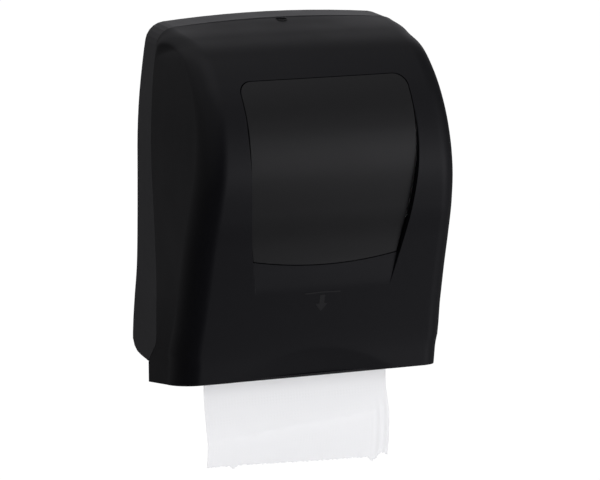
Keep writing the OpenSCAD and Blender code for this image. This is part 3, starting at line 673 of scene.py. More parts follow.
def beat(x: np.ndarray, waves: tuple[Pair, Pair]) -> np.ndarray:
    """Two sine waves times each other, each given by its radians per step and its start."""
    (fast, early), (slow, late) = waves
    return np.sin(x * fast + early) * np.sin(x * slow + late)


@dataclass(frozen=True)
class CoverForm:
    """The cover's outer face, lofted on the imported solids' own outlines.

    The panel's upper line lies a little lower than theirs, its step below the shoulders is
    shallower, and a slight scoop lies above the lower lip.

    Rows run down the nose, the middle of the cover seen from the side, and each row turns
    round the corner to the seam with the case. Lengths are in millimetres, and a place
    along the nose counts its points.
    """

    # Half widths by height, of the hips at the seam and of the front
    widths: Table = (
        (0, 146.5), (44, 146.5), (78, 144.4), (111, 141.6), (152, 140.4), (211, 139.6),
        (252, 139.1), (289, 137.0), (329, 132.5), (352, 129.0), (372, 125.5),
    )
    fronts: Table = (
        (0, 141.8), (50, 141.4), (125, 139.4), (170, 138.4), (215, 135.8), (255, 132.4),
        (300, 129.0), (340, 126.5), (372, 124),
    )
    # The seam in depth and height, with the point where its straight foot starts
    seam: Table = (
        (40.2, 343), (41, 321), (46.8, 273), (50.5, 224), (59.3, 177), (67, 129),
        (77.5, 81), (82, 58), (79.5, 46), (55.7, 24.6), (55.5, 3.3),
    )
    seam_smooth: int = 8
    # The nose in depth and height, and the place along the seam that each row runs to
    nose: Table = (
        (40, 365), (90, 359.5), (136, 349), (168.7, 327), (191, 302.5), (205, 274),
        (209.8, 240), (201.4, 200), (188.9, 165), (175.4, 125), (162.5, 85), (152, 50),
        (145, 19.3),
    )
    fan: Table = (
        (0, 0), (1, 0.25), (2, 0.6), (3, 1.05), (4, 1.5), (5, 2.05), (6, 2.75), (7, 3.6),
        (8, 4.4), (9, 5.3), (10, 6.3), (11, 8), (11.5, 9), (12, 10),
    )
    # By place along the nose: the corner's radii across and in depth, how far the front
    # bulges in its middle, the crease's half width and the panel's depth below the shoulders
    corner_rx: Table = ((0, 20), (3, 23), (12, 23))
    corner_ry: Table = ((0, 20), (3, 30), (6, 40), (12, 40))
    crown: Table = ((0, 4.5), (2.5, 2), (12, 2))
    crease_xs: Table = (
        (0, 88.5), (3, 88.5), (5, 87.9), (6, 86.6), (7, 83.8), (8, 79.6), (9, 73), (10, 67),
        (12, 60),
    )
    steps: Table = (
        (0, 0), (4, 0), (4.6, 1.1), (5.2, 3), (5.8, 5.5), (6.2, 6.8), (6.6, 7.3), (7.2, 7.2),
        (7.8, 6.4), (8.4, 4.4), (8.9, 1.5), (9.25, 0), (12, 0),
    )
    # Distance from the corner over which the hips' width turns into the front's
    blend: float = 50.0
    # How far the crease's side wall leans outwards
    draft: float = 1.0
    # The panel has rounded corners and a low edge that sags. The rows between the places
    # of bend_high and bend_low bend with its upper and its lower line.
    panel_top: float = 2.94
    panel_low: float = 8.4
    panel_sag: float = 0.19
    panel_corner: float = 13.0
    panel_corner_fall: float = 0.46
    bend_high: Pair = (1.0, 4.6)
    bend_low: Pair = (6.4, 10.8)
    scoop_half: float = 87.0
    scoop_low: float = 19.3
    scoop_high: float = 31.0
    scoop_depth: float = 3.2

    @property
    def end(self) -> int:
        """The last place along the nose."""
        return len(self.nose) - 1

    def seam_at(self, u: np.ndarray) -> np.ndarray:
        """The seam, a smooth path with straight lengths at its foot.

        Args:
            u: Places along the seam, counted in its points.

        Returns:
            The seam's depth and height at each place.
        """
        smooth = path_at(self.seam[: self.seam_smooth + 1], np.minimum(u, self.seam_smooth))
        p = np.asarray(self.seam, float)
        count = np.arange(len(p))
        straight = np.stack([np.interp(u, count, p[:, 0]), np.interp(u, count, p[:, 1])], -1)
        return np.where((u > self.seam_smooth)[..., None], straight, smooth)

    def rows_at(self, u: np.ndarray) -> dict[str, np.ndarray]:
        """Everything that the points of a row are worked out from.

        Args:
            u: Places along the nose.

        Returns:
            Nose and seam points, the direction between them and the widths, by name.
        """
        f = path_at(self.nose, u)
        s = self.seam_at(steady(self.fan, u))
        span = f - s
        reach = np.linalg.norm(span, axis=-1)
        ry = steady(self.corner_ry, u)
        hip = hermite(self.widths, s[..., 1])
        taper = ease((reach - ry) / self.blend)
        front = hip - (hip - hermite(self.fronts, f[..., 1])) * taper
        rx = steady(self.corner_rx, u)
        return {
            "nose": f, "seam": s, "dir": span / reach[..., None], "ry": ry, "rx": rx,
            "hip": hip, "front": front, "crown": steady(self.crown, u),
        }

    def crease_x(self, u: np.ndarray) -> np.ndarray:
        """Half width at the crease's edge."""
        return hermite(self.crease_xs, u)

    def step(self, u: np.ndarray) -> np.ndarray:
        """Depth of the panel below the shoulders."""
        return np.maximum(0, hermite(self.steps, u))

    def bent(self, u: np.ndarray, x: np.ndarray, half: np.ndarray) -> np.ndarray:
        """Place along the nose of a row where it crosses the panel at x.

        Args:
            u: The row's place along the nose.
            x: Distance from the middle.
            half: Half width of the panel there.

        Returns:
            The bent places, which round the panel's corners and let its low edge sag.
        """
        over = np.clip((np.abs(x) - (half - self.panel_corner)) / self.panel_corner, 0, 1)
        fall = self.panel_corner_fall * (1 - np.sqrt(1 - over**2))
        sag = self.panel_sag * (1 - (x / half) ** 2)
        high = hump(u, self.bend_high[0], self.panel_top, self.bend_high[1])
        low = hump(u, self.bend_low[0], self.panel_low, self.bend_low[1])
        return u + high * fall + low * sag

    def front_point(self, u: np.ndarray, x: np.ndarray, sunk: np.ndarray) -> np.ndarray:
        """Points of the front.

        Args:
            u: The rows' places along the nose.
            x: Distances from the middle.
            sunk: Depths below the crowned face.

        Returns:
            The points.
        """
        row = self.rows_at(u)
        q = np.minimum(np.abs(x) / (row["front"] - row["rx"]), 1)
        p = row["nose"] + row["dir"] * (row["crown"] * (1 - q * q))[..., None]
        reach = (x / self.scoop_half) ** 2 + (p[..., 1] - self.scoop_low) / self.scoop_high
        scoop = self.scoop_depth * np.maximum(0, 1 - reach)
        return np.stack([x, -p[..., 0] + sunk + scoop, p[..., 1]], -1)

    def arc_point(self, u: np.ndarray, angle: np.ndarray) -> np.ndarray:
        """Points of the corner between the front and the flank.

        Args:
            u: The rows' places along the nose.
            angle: Directions in degrees, 90 at the front and 0 at the flank.

        Returns:
            The points.
        """
        row = self.rows_at(u)
        a = np.radians(angle)
        p = row["nose"] - row["dir"] * (row["ry"] * (1 - np.sin(a)))[..., None]
        x = row["front"] - row["rx"] * (1 - np.cos(a))
        return np.stack([x, -p[..., 0], p[..., 1]], -1)

    def flank_point(self, u: np.ndarray, share: np.ndarray) -> np.ndarray:
        """Points of the flank.

        Args:
            u: The rows' places along the nose.
            share: 0 at the seam and 1 where the corner starts.

        Returns:
            The points.
        """
        row = self.rows_at(u)
        k = row["nose"] - row["dir"] * row["ry"][..., None]
        p = row["seam"] + (k - row["seam"]) * share[..., None]
        x = row["hip"] + (row["front"] - row["hip"]) * share
        return np.stack([x, -p[..., 0], p[..., 1]], -1)


def grid_normals(grid: np.ndarray) -> np.ndarray:
    """Works out which way a grid of points faces.

    Args:
        grid: Rows of points.

    Returns:
        A unit normal for each point, which points out of the cover.
    """
    down = np.gradient(grid, axis=0)
    across = np.gradient(grid, axis=1)
    normal = np.cross(down, across)
    return normal / np.linalg.norm(normal, axis=-1, keepdims=True)


def skin_faces(
    rows: int, cols: int, hole: tuple[int, int, int, int] = (0, 0, 0, 0)
) -> list[tuple[int, ...]]:
    """Faces of a closed skin between an outer and an inner grid.

    Args:
        rows: Rows of each grid.
        cols: Columns of each grid.
        hole: First and last row and first and last column of an opening, if there is one.

    Returns:
        Quads that number the outer grid first and the inner grid after it.
    """
    inner = rows * cols
    r0, r1, c0, c1 = hole
    faces = []
    for i in range(rows - 1):
        for j in range(cols - 1):
            if r0 <= i < r1 and c0 <= j < c1:
                continue
            a = i * cols + j
            b, c, d = a + 1, a + cols + 1, a + cols
            faces.append((a, d, c, b))
            faces.append((a + inner, b + inner, c + inner, d + inner))

    def rim(line: list[int]) -> None:
        """Joins the two grids along a line of points."""
        for p, q in zip(line, line[1:]):
            faces.append((p, q, q + inner, p + inner))

    rim(list(range(cols)))
    rim([(rows - 1) * cols + j for j in reversed(range(cols))])
    rim([i * cols for i in reversed(range(rows))])
    rim([i * cols + cols - 1 for i in range(rows)])
    if r1 > r0:
        rim([r0 * cols + j for j in reversed(range(c0, c1 + 1))])
        rim([r1 * cols + j for j in range(c0, c1 + 1)])
        rim([i * cols + c0 for i in range(r0, r1 + 1)])
        rim([i * cols + c1 for i in reversed(range(r0, r1 + 1))])
    return faces


def tube(
    name: str, centre: Pair, radii: Pair, span: Pair, sides: int = 64
) -> bpy.types.Object:
    """Makes an upright tube.

    Args:
        name: The piece's name.
        centre: The axis's x and y.
        radii: The bore's and the outer radius.
        span: The lower and the upper height.
        sides: Faces round the tube.

    Returns:
        The tube.
    """
    (inner, outer), (low, high) = radii, span
    rings = ((inner, low), (outer, low), (outer, high), (inner, high))
    points = [
        (centre[0] + r * math.cos(a), centre[1] + r * math.sin(a), z)
        for r, z in rings for a in np.linspace(0, 2 * math.pi, sides, endpoint=False)
    ]
    faces = []
    for k in range(len(rings)):
        this, following = k * sides, (k + 1) % len(rings) * sides
        for j in range(sides):
            beside = (j + 1) % sides
            faces.append((this + j, this + beside, following + beside, following + j))
    piece = mesh_piece(name, np.array(points), faces)
    piece.data.set_sharp_from_angle(angle=math.radians(SHARP_ANGLE))
    return piece


def bore(
    piece: bpy.types.Object, centre: Pair, radius: float, span: Pair, core: float = 0.001
) -> None:
    """Bores an upright round hole through a piece.

    Args:
        piece: The piece.
        centre: The axis's x and y.
        radius: The hole's radius.
        span: The lower and the upper height of the cutter.
        core: Radius of the hair-fine core that the cutter, itself a tube, leaves out.
    """
    cutter = tube("cutter", centre, (core, radius), span)
    cut = piece.modifiers.new("bore", "BOOLEAN")
    cut.operation = "DIFFERENCE"
    cut.solver = "EXACT"
    cut.object = cutter
    shaped = piece.evaluated_get(bpy.context.evaluated_depsgraph_get())
    piece.data = bpy.data.meshes.new_from_object(shaped)
    piece.modifiers.clear()
    bpy.data.objects.remove(cutter)


@dataclass
class Cover:
    """The moulded cover with its ribs, lock boss and pull mark, and its front panel.

    Lengths are in millimetres, and heights count from the cover's lowest point.
    """

    paint: Paintbox
    form: CoverForm = field(default_factory=CoverForm)
    wall: float = 2.8
    shell_edge: float = 0.5
    # The front panel: how far its rim and its seat are drawn in from the step's foot
    panel_wall: float = 2.4
    panel_edge: float = 0.35
    groove: float = 0.95
    seat_gap: float = 0.06
    # Degrees above which the edges of the shell and the panel are rounded
    edge_angle: float = 50.0
    # The lock's axis, its bore through the shell and the boss round it
    lock: Pair = (0.0, -48.0)
    lock_bore: float = 6.06
    bore_span: Pair = (340.0, 400.0)
    boss_radius: float = 8.6
    boss_span: Pair = (350.0, 366.4)
    # The ribs inside: where they stand, and the places along the nose that they join
    rib_x: float = 112.0
    rib_thick: float = 1.8
    rib_high: float = 5.0
    rib_root: float = 0.2
    rib_edge: float = 0.4
    rib_span: Pair = (3.6, 11.0)
    rib_rows: int = 60
    # The pull mark, as outlines seen from the front, and how deep it starts and stands out
    bar: Table = (
        (-18.5, 112.6), (0, 113.4), (18.5, 112.6), (18.5, 111), (0, 111.8), (-18.5, 111),
    )
    arrow: Table = (
        (-2.6, 109.6), (2.6, 109.6), (2.6, 100), (6.4, 100), (0, 91.5), (-6.4, 100),
        (-2.6, 100),
    )
    mark_root: float = 0.1
    mark_proud: float = 0.25
    # Where the front below the panel starts on the nose, and the rows that it is probed in
    below_panel: float = 8.6
    probe_rows: int = 200
    # Columns and rows of the meshes. The shoulder's columns crowd towards the crease, its
    # rows turn level within a third of its width, and nose_pitch is the distance between
    # the nose's points at the panel's upper and lower line.
    panel_cols: int = 26
    corner_cols: int = 12
    wall_cols: int = 8
    shoulder_cols: int = 14
    shoulder_crowd: float = 1.3
    shoulder_bend: float = 3.0
    arc_cols: int = 22
    flank_cols: int = 14
    rows_above: int = 34
    rows_panel: int = 110
    rows_below: int = 44
    nose_pitch: Pair = (39.0, 40.0)

    def panel_xs(self, half: np.ndarray) -> list[np.ndarray]:
        """Places the columns across the panel, closer together at its corner.

        Args:
            half: Half width of the panel in each row.

        Returns:
            The distances from the middle, one array for each column.
        """
        flat = half - self.form.panel_corner
        spread = [flat * k / self.panel_cols for k in range(self.panel_cols)]
        turn = np.radians(np.linspace(0, 90, self.corner_cols + 1))
        return spread + [flat + self.form.panel_corner * math.sin(a) for a in turn]

    def half_grid(self, u: np.ndarray) -> np.ndarray:
        """The cover's outer face from the middle to one seam.

        Args:
            u: The rows' places along the nose.

        Returns:
            Rows of points, with the panel, the step, the shoulder, the corner and the flank.
        """
        form = self.form
        edge = form.crease_x(u)
        foot = edge - form.draft
        row = form.rows_at(u)
        start = row["front"] - row["rx"]
        columns = []
        for x in self.panel_xs(foot):
            v = form.bent(u, x, foot)
            columns.append(form.front_point(v, x, form.step(v)))
        corner_u = form.bent(u, foot, foot)
        for k in range(1, self.wall_cols + 1):
            share = k / self.wall_cols
            sunk = form.step(corner_u) * (1 - ease(np.asarray(share)))
            columns.append(form.front_point(corner_u, foot + (edge - foot) * share, sunk))
        for k in range(1, self.shoulder_cols):
            share = (k / self.shoulder_cols) ** self.shoulder_crowd
            level = ease(np.asarray(min(1, share * self.shoulder_bend)))
            mixed = corner_u + (u - corner_u) * level
            columns.append(form.front_point(mixed, edge + (start - edge) * share, 0 * u))
        for k in range(self.arc_cols + 1):
            columns.append(form.arc_point(u, 90 - 90 * k / self.arc_cols + 0 * u))
        for k in range(self.flank_cols - 1, -1, -1):
            columns.append(form.flank_point(u, k / self.flank_cols + 0 * u))
        return np.stack(columns, axis=1)

    @staticmethod
    def whole(half: np.ndarray) -> np.ndarray:
        """Both halves of a grid whose first column is the middle."""
        mirrored = half[:, :0:-1] * (-1, 1, 1)
        return np.concatenate([mirrored, half], axis=1)

    def shell(self) -> bpy.types.Object:
        """Builds the cover's skin with its window.

        Returns:
            The skin.
        """
        form = self.form
        u = np.concatenate([
            np.linspace(0, form.panel_top, self.rows_above, endpoint=False),
            np.linspace(form.panel_top, form.panel_low, self.rows_panel, endpoint=False),
            np.linspace(form.panel_low, form.end, self.rows_below),
        ])
        outer = self.whole(self.half_grid(u))
        inner = outer - self.wall * grid_normals(outer)
        inner[0, :, 1] = outer[0, :, 1]
        inner[:, 0] = outer[:, 0] + (self.wall, 0, 0)
        inner[:, -1] = outer[:, -1] - (self.wall, 0, 0)
        rows, cols = outer.shape[:2]
        middle = (cols - 1) // 2
        side = self.panel_cols + self.corner_cols
        hole = (
            self.rows_above, self.rows_above + self.rows_panel, middle - side, middle + side
        )
        points = np.concatenate([outer.reshape(-1, 3), inner.reshape(-1, 3)])
        piece = mesh_piece("cover_shell", points, skin_faces(rows, cols, hole))
        bore(piece, self.lock, self.lock_bore, self.bore_span)
        round_edges(piece, self.shell_edge, self.edge_angle)
        return piece

    def rib(self, name: str, side: int) -> bpy.types.Object:
        """Builds an upright rib inside the cover.

        Args:
            name: The piece's name.
            side: -1 for the left rib and 1 for the right one.

        Returns:
            The rib.
        """
        u = np.linspace(*self.rib_span, self.rib_rows)
        x = np.full_like(u, self.rib_x)
        low = self.form.front_point(u, x, 0 * u + self.wall - self.rib_root)
        high = self.form.front_point(u, x, 0 * u + self.wall + self.rib_high)
        loops = []
        for shift in (0.0, -self.rib_thick):
            for line in (low, high):
                loops.append((line + (shift, 0, 0)) * (side, 1, 1))
        points = np.concatenate(loops)
        n = len(u)
        # First points of the four long edges, in order round the rib
        a, b, c, d = 0, n, 3 * n, 2 * n
        faces = []
        for k in range(n - 1):
            for p, q in ((a, b), (b, c), (c, d), (d, a)):
                faces.append((p + k, q + k, q + k + 1, p + k + 1)[::side])
        faces += [(a, d, c, b)[::side], (a + n - 1, b + n - 1, c + n - 1, d + n - 1)[::side]]
        piece = mesh_piece(name, points, faces, smooth=False)
        round_edges(piece, self.rib_edge)
        return piece

    def on_front(self, x: np.ndarray, z: np.ndarray, proud: float) -> np.ndarray:
        """Points on the cover's front below the panel.

        Args:
            x: Distances from the middle.
            z: Heights above the cover's lowest point.
            proud: How far the points stand out.

        Returns:
            The points.
        """
        u = np.linspace(self.below_panel, self.form.end, self.probe_rows)
        z_of_u = self.form.front_point(u, 0 * u, 0 * u)[:, 2]
        places = np.interp(-z.ravel(), -z_of_u, u)
        points = self.form.front_point(places, x.ravel(), 0 * places - proud)
        return points.reshape(x.shape + (3,))

    def mark(self) -> bpy.types.Object:
        """Builds a plain bar with an arrow below it, which says where to pull.

        Returns:
            The mark.
        """
        points, faces = [], []
        for outline in (self.bar, self.arrow):
            x, z = np.array(outline, float).T
            start, n = len(points), len(outline)
            points += self.on_front(x, z, -self.mark_root).tolist()
            points += self.on_front(x, z, self.mark_proud).tolist()
            faces.append(tuple(range(start + n, start + 2 * n)))
            faces += [
                (start + k, start + (k + 1) % n, start + n + (k + 1) % n, start + n + k)
                for k in range(n)
            ]
        return mesh_piece("pull_mark", np.array(points), faces, smooth=False)

    def panel(self) -> bpy.types.Object:
        """Builds the front panel with a bevelled rim that leaves the groove.

        Returns:
            The panel.
        """
        form = self.form

        def grid(inset: float) -> np.ndarray:
            """The panel's face, drawn in all round.

            Args:
                inset: How far it is drawn in.

            Returns:
                Rows of points.
            """
            top = form.panel_top + inset / self.nose_pitch[0]
            low = form.panel_low - inset / self.nose_pitch[1]
            u = np.linspace(top, low, self.rows_panel + 1)
            half = form.crease_x(u) - form.draft - inset
            columns = []
            for x in self.panel_xs(half):
                v = form.bent(u, x, half)
                columns.append(form.front_point(v, x, form.step(v)))
            return self.whole(np.stack(columns, axis=1))

        outer = grid(self.groove)
        seat = grid(self.seat_gap)
        inner = seat - self.panel_wall * grid_normals(seat)
        rows, cols = outer.shape[:2]
        points = np.concatenate([outer.reshape(-1, 3), inner.reshape(-1, 3)])
        piece = mesh_piece("front_panel", points, skin_faces(rows, cols))
        round_edges(piece, self.panel_edge, self.edge_angle)
        return piece

    def build(self) -> None:
        """Builds and dresses the cover and what rides on it."""
        shell = self.shell()
        self.paint.dress(shell, Finish.COVER_ABS)
        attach(shell, "cover")
        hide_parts("front_cover")
        LOG.info("cover_shell: %d faces", len(shell.data.polygons))
        radii = (self.lock_bore, self.boss_radius)
        trims = {
            tube("lock_boss", self.lock, radii, self.boss_span): Finish.COVER_ABS,
            self.rib("left_rib", -1): Finish.COVER_ABS,
            self.rib("right_rib", 1): Finish.COVER_ABS, self.mark(): Finish.PAD_PRINT,
        }
        for trim, finish in trims.items():
            self.paint.dress(trim, finish)
            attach(trim, "cover")
        panel = self.panel()
        self.paint.dress(panel, Finish.PANEL_ABS)
        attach(panel, "cover")
        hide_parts("window_panel")
        LOG.info("front_panel: %d faces", len(panel.data.polygons))


@dataclass
class Towel:
    """The towel, from the roll over the drum to its torn end below the cover.

    It is built in two lengths that meet inside the cover: the sheet, and the tail. Lengths
    are in millimetres. A circle in the side view is its y, z and radius, and a direction is
    in degrees, 0 to the wall and 90 upwards.
    """

    paint: Paintbox
    width: float = 198.0
    ply: float = 0.3
    columns: int = 331
    # The way inside: off the roll, behind the pinch roller, over the drum and down. It leaves
    # the roll and meets the pinch roller in one direction, and the drum in the nip's.
    roll: Point = (-99.0, 250.0, 88.65)
    pinch: Point = (-23.7227, 115.3842, 10.65)
    drum: Point = (-52.0, 75.0, 38.65)
    leave: float = -1.2
    on_roll: float = 12.0
    nip: float = 55.0
    before_nip: float = 15.0
    straight_from: float = 72.0
    # Rows on the roll, the pinch roller, the drum, the straight length and below the cover
    inner_rows: tuple[int, int, int, int] = (5, 14, 26, 16)
    hanging_rows: int = 61
    # How many rows above the cover's lowest point the tail starts, and how much of its
    # height it keeps in the open cover
    tail_rows: int = 4
    crumple: float = 0.72
    # The torn edge: its heights at both sides and the marks of the knife's teeth
    torn_left: float = -82.5
    torn_right: float = -93.0
    tooth: float = 4.0
    tooth_high: float = 0.9
    tooth_spread: float = 0.8
    tooth_waves: tuple[Pair, Pair] = ((2.4, 0.0), (0.7, 0.0))
    # Its rough line, as heights of waves with their radians per millimetre and their start
    rough_high: float = 0.5
    rough_waves: tuple[Pair, Pair] = ((0.83, 0.0), (0.31, 1.0))
    fibre_high: float = 0.35
    fibre_wave: Pair = (2.7, 2.0)
    nick_deep: float = 1.1
    nick_waves: tuple[Pair, Pair] = ((1.7, 0.4), (0.53, 0.0))
    # Its shreds, as place, length and half width, and the changes of height at its right
    shreds: tuple[Point, ...] = ((-70.0, 4.6, 4.5), (83.0, 5.5, 6.0))
    corners: Table = ((86.0, 4.0), (94.0, -3.0))
    corner_over: float = 6.0
    # The tail leans forward from the slot and hangs back below a soft bend
    lean: float = 0.2
    tuck: float = 0.3
    slot_soft: float = 10.0
    bend_deep: float = 44.0
    bend_rise: float = 9.0
    bend_soft: float = 10.0
    # Below the slot it drifts to the right and widens
    drift: float = 3.6
    flare: float = 1.9
    drift_over: float = 90.0
    # A slow wave across it, with the depth over which it grows
    wave_high: float = 0.5
    wave_mm: float = 31.0
    wave_start: float = 0.6
    wave_over: float = 60.0
    # Folds at its right and a curl at its left, each with the distance from the middle and
    # the depth at which it starts, and the lengths over which it grows
    fold_high: float = 0.55
    fold_mm: float = 1.35
    fold_from: Pair = (78.0, 18.0)
    fold_over: Pair = (12.0, 30.0)
    curl_high: float = 1.5
    curl_from: Pair = (70.0, 30.0)
    curl_over: Pair = (29.0, 50.0)

    @staticmethod
    def arc(circle: Point, start: float, end: float, n: int) -> np.ndarray:
        """Points round a circle in the side view.

        Args:
            circle: The circle.
            start: Direction of the first point.
            end: Direction of the last one.
            n: How many points.

        Returns:
            One row of y and z for each point.
        """
        a = np.radians(np.linspace(start, end, n))
        y, z, r = circle
        return np.stack([y + r * np.cos(a), z + r * np.sin(a)], -1)

    def hidden_path(self) -> np.ndarray:
        """The towel's way inside the dispenser, down to the cover's lowest point.

        Returns:
            One row of y and z for each point.
        """
        on_roll, on_pinch, on_drum, hanging = self.inner_rows
        down = np.linspace(self.straight_from, 0, hanging)
        straight = np.stack([0 * down + self.drum[0] - self.drum[2], down], -1)
        off_pinch = self.nip - 180 + self.before_nip
        return np.concatenate([
            self.arc(self.roll, self.leave + self.on_roll, self.leave, on_roll),
            self.arc(self.pinch, self.leave, off_pinch, on_pinch),
            self.arc(self.drum, self.nip, 180, on_drum), straight,
        ])

    def torn_end(self, x: np.ndarray) -> np.ndarray:
        """The torn edge, with the marks of the knife's teeth.

        Args:
            x: Distances from the towel's middle.

        Returns:
            The edge's heights.
        """
        share = (x + self.width / 2) / self.width
        tooth = x / self.tooth
        uneven = 1 + self.tooth_spread * beat(np.floor(tooth), self.tooth_waves)
        teeth = self.tooth_high * uneven * np.abs((tooth % 1) * 2 - 1)
        fibres = self.fibre_high * np.sin(x * self.fibre_wave[0] + self.fibre_wave[1])
        nicks = self.nick_deep * np.maximum(0, beat(x, self.nick_waves)) ** 3
        rough = self.rough_high * beat(x, self.rough_waves) + fibres - nicks
        shreds = sum(
            long * np.maximum(0, 1 - np.abs(x - place) / half)
            for place, long, half in self.shreds
        )
        corner = sum(
            high * ease((x - place) / self.corner_over) for place, high in self.corners
        )
        line = self.torn_left + (self.torn_right - self.torn_left) * share + corner
        return line + teeth + rough - shreds

    @staticmethod
    def patch(out: np.ndarray, low: np.ndarray, start: Pair, over: Pair) -> np.ndarray:
        """How fully a change that starts beside and below a place has set in, from 0 to 1."""
        return ease((out - start[0]) / over[0]) * ease((low - start[1]) / over[1])

    def forward(self, x: np.ndarray, low: np.ndarray) -> np.ndarray:
        """How far the tail swings forward.

        It leans forward below the slot and hangs back again from a soft bend, which lies
        higher on the right. The right edge is crumpled into upright folds.

        Args:
            x: Distances from the towel's middle.
            low: Depths below the cover.

        Returns:
            The distances in front of the slot.
        """
        bend = self.bend_deep - self.bend_rise * x / (self.width / 2)
        over = np.maximum(0, low - bend)
        soft = over**2 / (over + self.bend_soft)
        swing = self.lean * (low - self.slot_soft * (1 - np.exp(-low / self.slot_soft)))
        wave = self.wave_high * np.sin(x / self.wave_mm + self.wave_start)
        wave = wave * ease(low / self.wave_over)
        folds = self.fold_high * self.patch(x, low, self.fold_from, self.fold_over)
        folds = folds * np.sin((x - self.fold_from[0]) / self.fold_mm)
        curl = self.curl_high * self.patch(-x, low, self.curl_from, self.curl_over)
        return swing - (self.lean + self.tuck) * soft + wave + folds + curl

    def sheet(self, name: str, grid: np.ndarray) -> bpy.types.Object:
        """Builds a length of the towel and says how it hangs.

        Args:
            name: The piece's name.
            grid: Rows of points, from the length's upper end to its lower one.

        Returns:
            The length of towel.
        """
        n, cols = grid.shape[:2]
        faces = [
            (i * cols + j, (i + 1) * cols + j, (i + 1) * cols + j + 1, i * cols + j + 1)
            for i in range(n - 1) for j in range(cols - 1)
        ]
        piece = mesh_piece(name, grid.reshape(-1, 3), faces)
        thick = piece.modifiers.new("ply", "SOLIDIFY")
        thick.thickness = self.ply * MM
        thick.offset = 0
        piece.modifiers.new("even_shading", "WEIGHTED_NORMAL")
        self.paint.dress(piece, Finish.TOWEL)
        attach(piece, "case")
        return piece

    def build(self) -> None:
        """Builds both lengths of the towel."""
        x = np.linspace(-self.width / 2, self.width / 2, self.columns)
        inside = self.hidden_path()
        rows = [np.stack([x, 0 * x + y, 0 * x + z], -1) for y, z in inside]
        end = self.torn_end(x)
        for share in np.linspace(0, 1, self.hanging_rows + 1)[1:]:
            z = end * share
            y = inside[-1][0] - self.forward(x, -z)
            aside = self.drift + self.flare * x / (self.width / 2)
            aside = aside * ease(-z / self.drift_over)
            rows.append(np.stack([x + aside, y, z], -1))
        grid = np.stack(rows)
        split = len(inside) - self.tail_rows
        self.sheet("towel_sheet", grid[: split + 1])
        tail = self.sheet("towel_tail", grid[split:])
        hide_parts("paper_web")
        y, z = inside[split]
        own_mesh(tail)


@dataclass
class CarriedNodes:
    """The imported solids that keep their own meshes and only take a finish."""

    paint: Paintbox
    finishes: dict[str, Finish] = field(default_factory=lambda: {
        "case_plastic": Finish.CASE_ABS, "cover_plastic": Finish.COVER_ABS,
        "panel_plastic": Finish.PANEL_ABS, "chassis_plastic": Finish.CHASSIS_PP,
        "guard_plastic": Finish.GUARD_PP, "acetal": Finish.ACETAL,
        "hub_plastic": Finish.HUB_PP, "drum_plastic": Finish.DRUM_ABS,
        "grip_rubber": Finish.GRIP_RUBBER, "roller_rubber": Finish.ROLLER_RUBBER,
        "pin_steel": Finish.PIN_STEEL, "screw_steel": Finish.SCREW_ZINC,
        "spring_steel": Finish.SPRING_WIRE, "blade_steel": Finish.BLADE_STEEL,
        "towel": Finish.TOWEL, "core_board": Finish.BOARD,
    })
    # Nodes that differ from their slot's finish
    special: dict[str, Finish] = field(default_factory=lambda: {
        "paper_roll": Finish.ROLL, "lock_barrel": Finish.LOCK_ABS,
    })
    # Widths of the rounded edges
    edges_mm: dict[float, tuple[str, ...]] = field(default_factory=lambda: {
        1.0: ("paper_roll",),
        0.5: ("rear_case", "left_roll_arm", "right_roll_arm"),
        0.4: (
            "left_side_frame", "right_side_frame", "arm_bracket", "drum_guard", "left_hub",
            "right_hub", "nip_carriers", "feed_knob", "crank_disc", "knife_carrier",
            "hinge_brackets", "drum_axle",
        ),
        0.3: (
            "exit_guide", "drum_knife_shell", "drum_plain_shell", "knife_follower",
            "cover_floor", "lock_hook", "pinch_roller", "hinge_pins", "pinch_axle",
            "cross_tie", "arm_pin", "knife_cam",
        ),
        0.25: ("drum_bushes", "lock_barrel", "keeper", "crank_pin", "spring_post"),
        0.2: ("roll_core",),
        0.15: ("frame_screws", "drum_screws"),
        0.12: ("arm_spring", "nip_springs"),
    })

    def build(self) -> None:
        """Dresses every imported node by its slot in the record."""
        slots = {part["node"]: part["material_slot"] for part in frame["record"]["subparts"]}
        edges = {name: width for width, names in self.edges_mm.items() for name in names}
        for name, node in frame["nodes"].items():
            self.paint.dress(node, self.special.get(name, self.finishes[slots[name]]))
            mesh = node.data
            mesh.polygons.foreach_set("use_smooth", [True] * len(mesh.polygons))
            mesh.set_sharp_from_angle(angle=math.radians(SHARP_ANGLE))
            if name in edges:
                round_edges(node, edges[name])
            LOG.info("%s: %s", name, slots[name])


@dataclass(frozen=True)
class TentPanel:
    """A soft bright patch of the light tent, for the black plastic to reflect.

    Its turn is 0 towards the viewer and 90 to the right, its rise is up from level, and its
    spread is how many degrees from its middle it fades out.
    """

    turn: float
    rise: float
    spread: float
    level: float

    def toward(self) -> Point:
        """The direction of the patch's middle.

        Returns:
            A unit vector in the frame.
        """
        turn, rise = math.radians(self.turn), math.radians(self.rise)
        return (
            math.cos(rise) * math.sin(turn), -math.cos(rise) * math.cos(turn), math.sin(rise)
        )


@dataclass(frozen=True)
class SoftBox:
    """A lamp with a soft rectangular face. Lengths are in metres."""

    name: str
    place: Point
    aim: Point
    size: Pair
    watts: float


